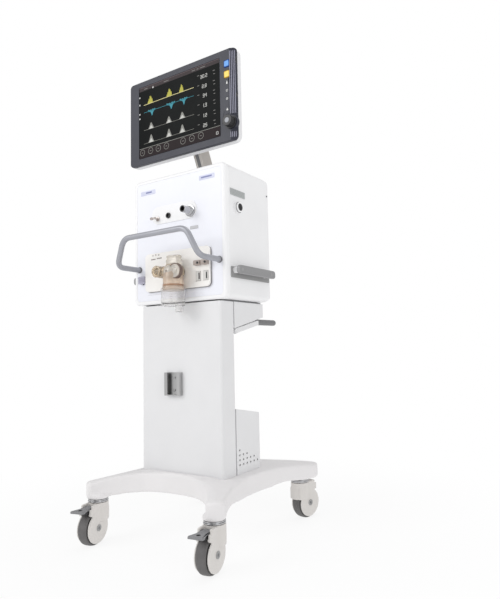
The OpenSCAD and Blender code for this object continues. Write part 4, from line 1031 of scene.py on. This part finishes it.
def add_screen_picture():
    """Generic curves, numbers and dials, raised a hair above the glass."""
    glass = span("screen_glass")
    place = facing_front(glass.x, glass.z)
    back, front = glass.y0 + 0.1, glass.y0 - 0.3

    def flat(u0, u1, v0, v1, proud=0.3):
        return bar(u0, u1, v0, v1, back, glass.y0 - proud, place)

    def outline(points, proud=0.3):
        return prism(points, place, back, glass.y0 - proud)

    def baseline(v, width):
        return ribbon([(-152, v), (-40, v), (69, v)], width, back, front, place)

    half_w = 173
    bands = [(flat(-half_w, half_w, 111, 124, 0.15), STATUS_BAND),
             (flat(-half_w, half_w, 122.5, 124.4, 0.25), DIM_LINE),
             (flat(-half_w, half_w, -124, -92, 0.15), FOOT_BAND),
             (flat(-half_w, half_w, -91.8, -90.3), GREY_TRACE)]
    bands += [(flat(u, u + w, 115.5, 118, 0.25), DIM_MARK)
              for u, w in ((62, 14), (82, 8), (96, 20), (-60, 22), (-150, 16))]
    bands.append((join(flat(-111.5, -106.5, 110, 114), flat(-110, -108, 114, 117)), BRIGHT_MARK))
    piece("screen_bands", bands, "monitor", "screen")
    curves = [(ribbon([(-152, 60), (-60, 60.6), (69, 60)], 1.7, back, front, place), PALE_YELLOW)]
    spike = ((0, 0), (0.08, 9), (0.16, 7), (0.24, 17), (0.34, 13), (0.42, 24), (0.55, 25.5),
             (0.62, 20), (0.72, 22), (0.8, 12), (0.9, 15), (1, 0))
    for u0, u1 in ((-134, -110), (-48, -24), (8, 26)):
        shape = [(u0 + (u1 - u0) * t, 61 + rise) for t, rise in spike]
        curves.append((outline(shape), YELLOW_TRACE))
    curves.append((baseline(33, 1.1), TEAL_TRACE))
    funnel = ((0, -0.5), (0.1, 6), (0.22, 2.5), (0.4, 4.5), (0.5, 1.5), (0.62, 5.5), (0.8, 2.5),
              (0.9, 5.5), (1, -0.5), (0.78, -2.5), (0.66, -8), (0.6, -16), (0.52, -18),
              (0.46, -11), (0.36, -4), (0.2, -2))
    for u0, u1 in ((-134, -97), (-50, -8), (8, 44)):
        shape = [(u0 + (u1 - u0) * t, 33 + rise) for t, rise in funnel]
        curves.append((outline(shape), TEAL_TRACE))
    bell = ((0, 0), (0.14, 3), (0.28, 12), (0.38, 21), (0.5, 25), (0.6, 21), (0.72, 12),
            (0.86, 3), (1, 0))
    for base_v, rise in ((-29, 22), (-76, 27)):
        curves.append((baseline(base_v, 0.9), DIM_TRACE))
        for mid in (-118, -38, 20):
            for size, finish, proud in ((1.0, GREY_TRACE, 0.3), (0.5, BELL_LIGHT, 0.45)):
                width = 0.6 + 0.4 * size
                shape = [(mid + (t - 0.5) * 31 * width, base_v + r * rise / 25 * size)
                         for t, r in bell]
                curves.append((outline(shape, proud), finish))
    piece("screen_curves", curves, "monitor", "screen")
    figures = []
    for text, u, v in (("30.2", 97, 86), ("2.8", 103, 53), ("34", 106, 22), ("1.3", 103, -10),
                       ("1.2", 103, -43), ("25", 106, -75)):
        figures += [(number(text, u, v, back, front, place), DIGIT_LIGHT),
                    (flat(84, 92, v + 6, v + 8), DIM_MARK),
                    (flat(147, 155, v + 5, v + 7.2), DIM_MARK),
                    (flat(149, 156, v - 6, v - 4), DIM_MARK)]
    figures += [(flat(-half_w, -169, v - 2.6, v + 2.6), BRIGHT_MARK) for v in (91, 65, 32, 16)]
    figures += [(ring(u, -105, 11, 9.7, back, front, place, 36), GREY_TRACE) for u in DIALS]
    figures += [(flat(u - 3.4, u + 3.4, -106.2, -104), DIM_MARK) for u in DIALS]
    figures.append((frame_of_bars(161, -112, 9, 9, 1.4, back, front, place), BRIGHT_MARK))
    piece("screen_figures", figures, "monitor", "screen")


def add_inner_parts():
    for node, finish in (("blower", MID_PLASTIC), ("battery_pack", BATTERY_WRAP),
                         ("control_board", CIRCUIT), ("display_panel", DARK_PLASTIC)):
        finished(node, finish, 0.8)


add_camera()
add_studio()
add_base()
for caster in CASTERS:
    add_caster(caster)
add_column()
add_housing()
add_front_plates()
add_side_details()
add_rear_details()
add_ports()
add_module()
add_valve()
add_trap()
add_handle()
add_monitor()
add_bezel_details()
add_neck_details()
add_screen_picture()
add_inner_parts()
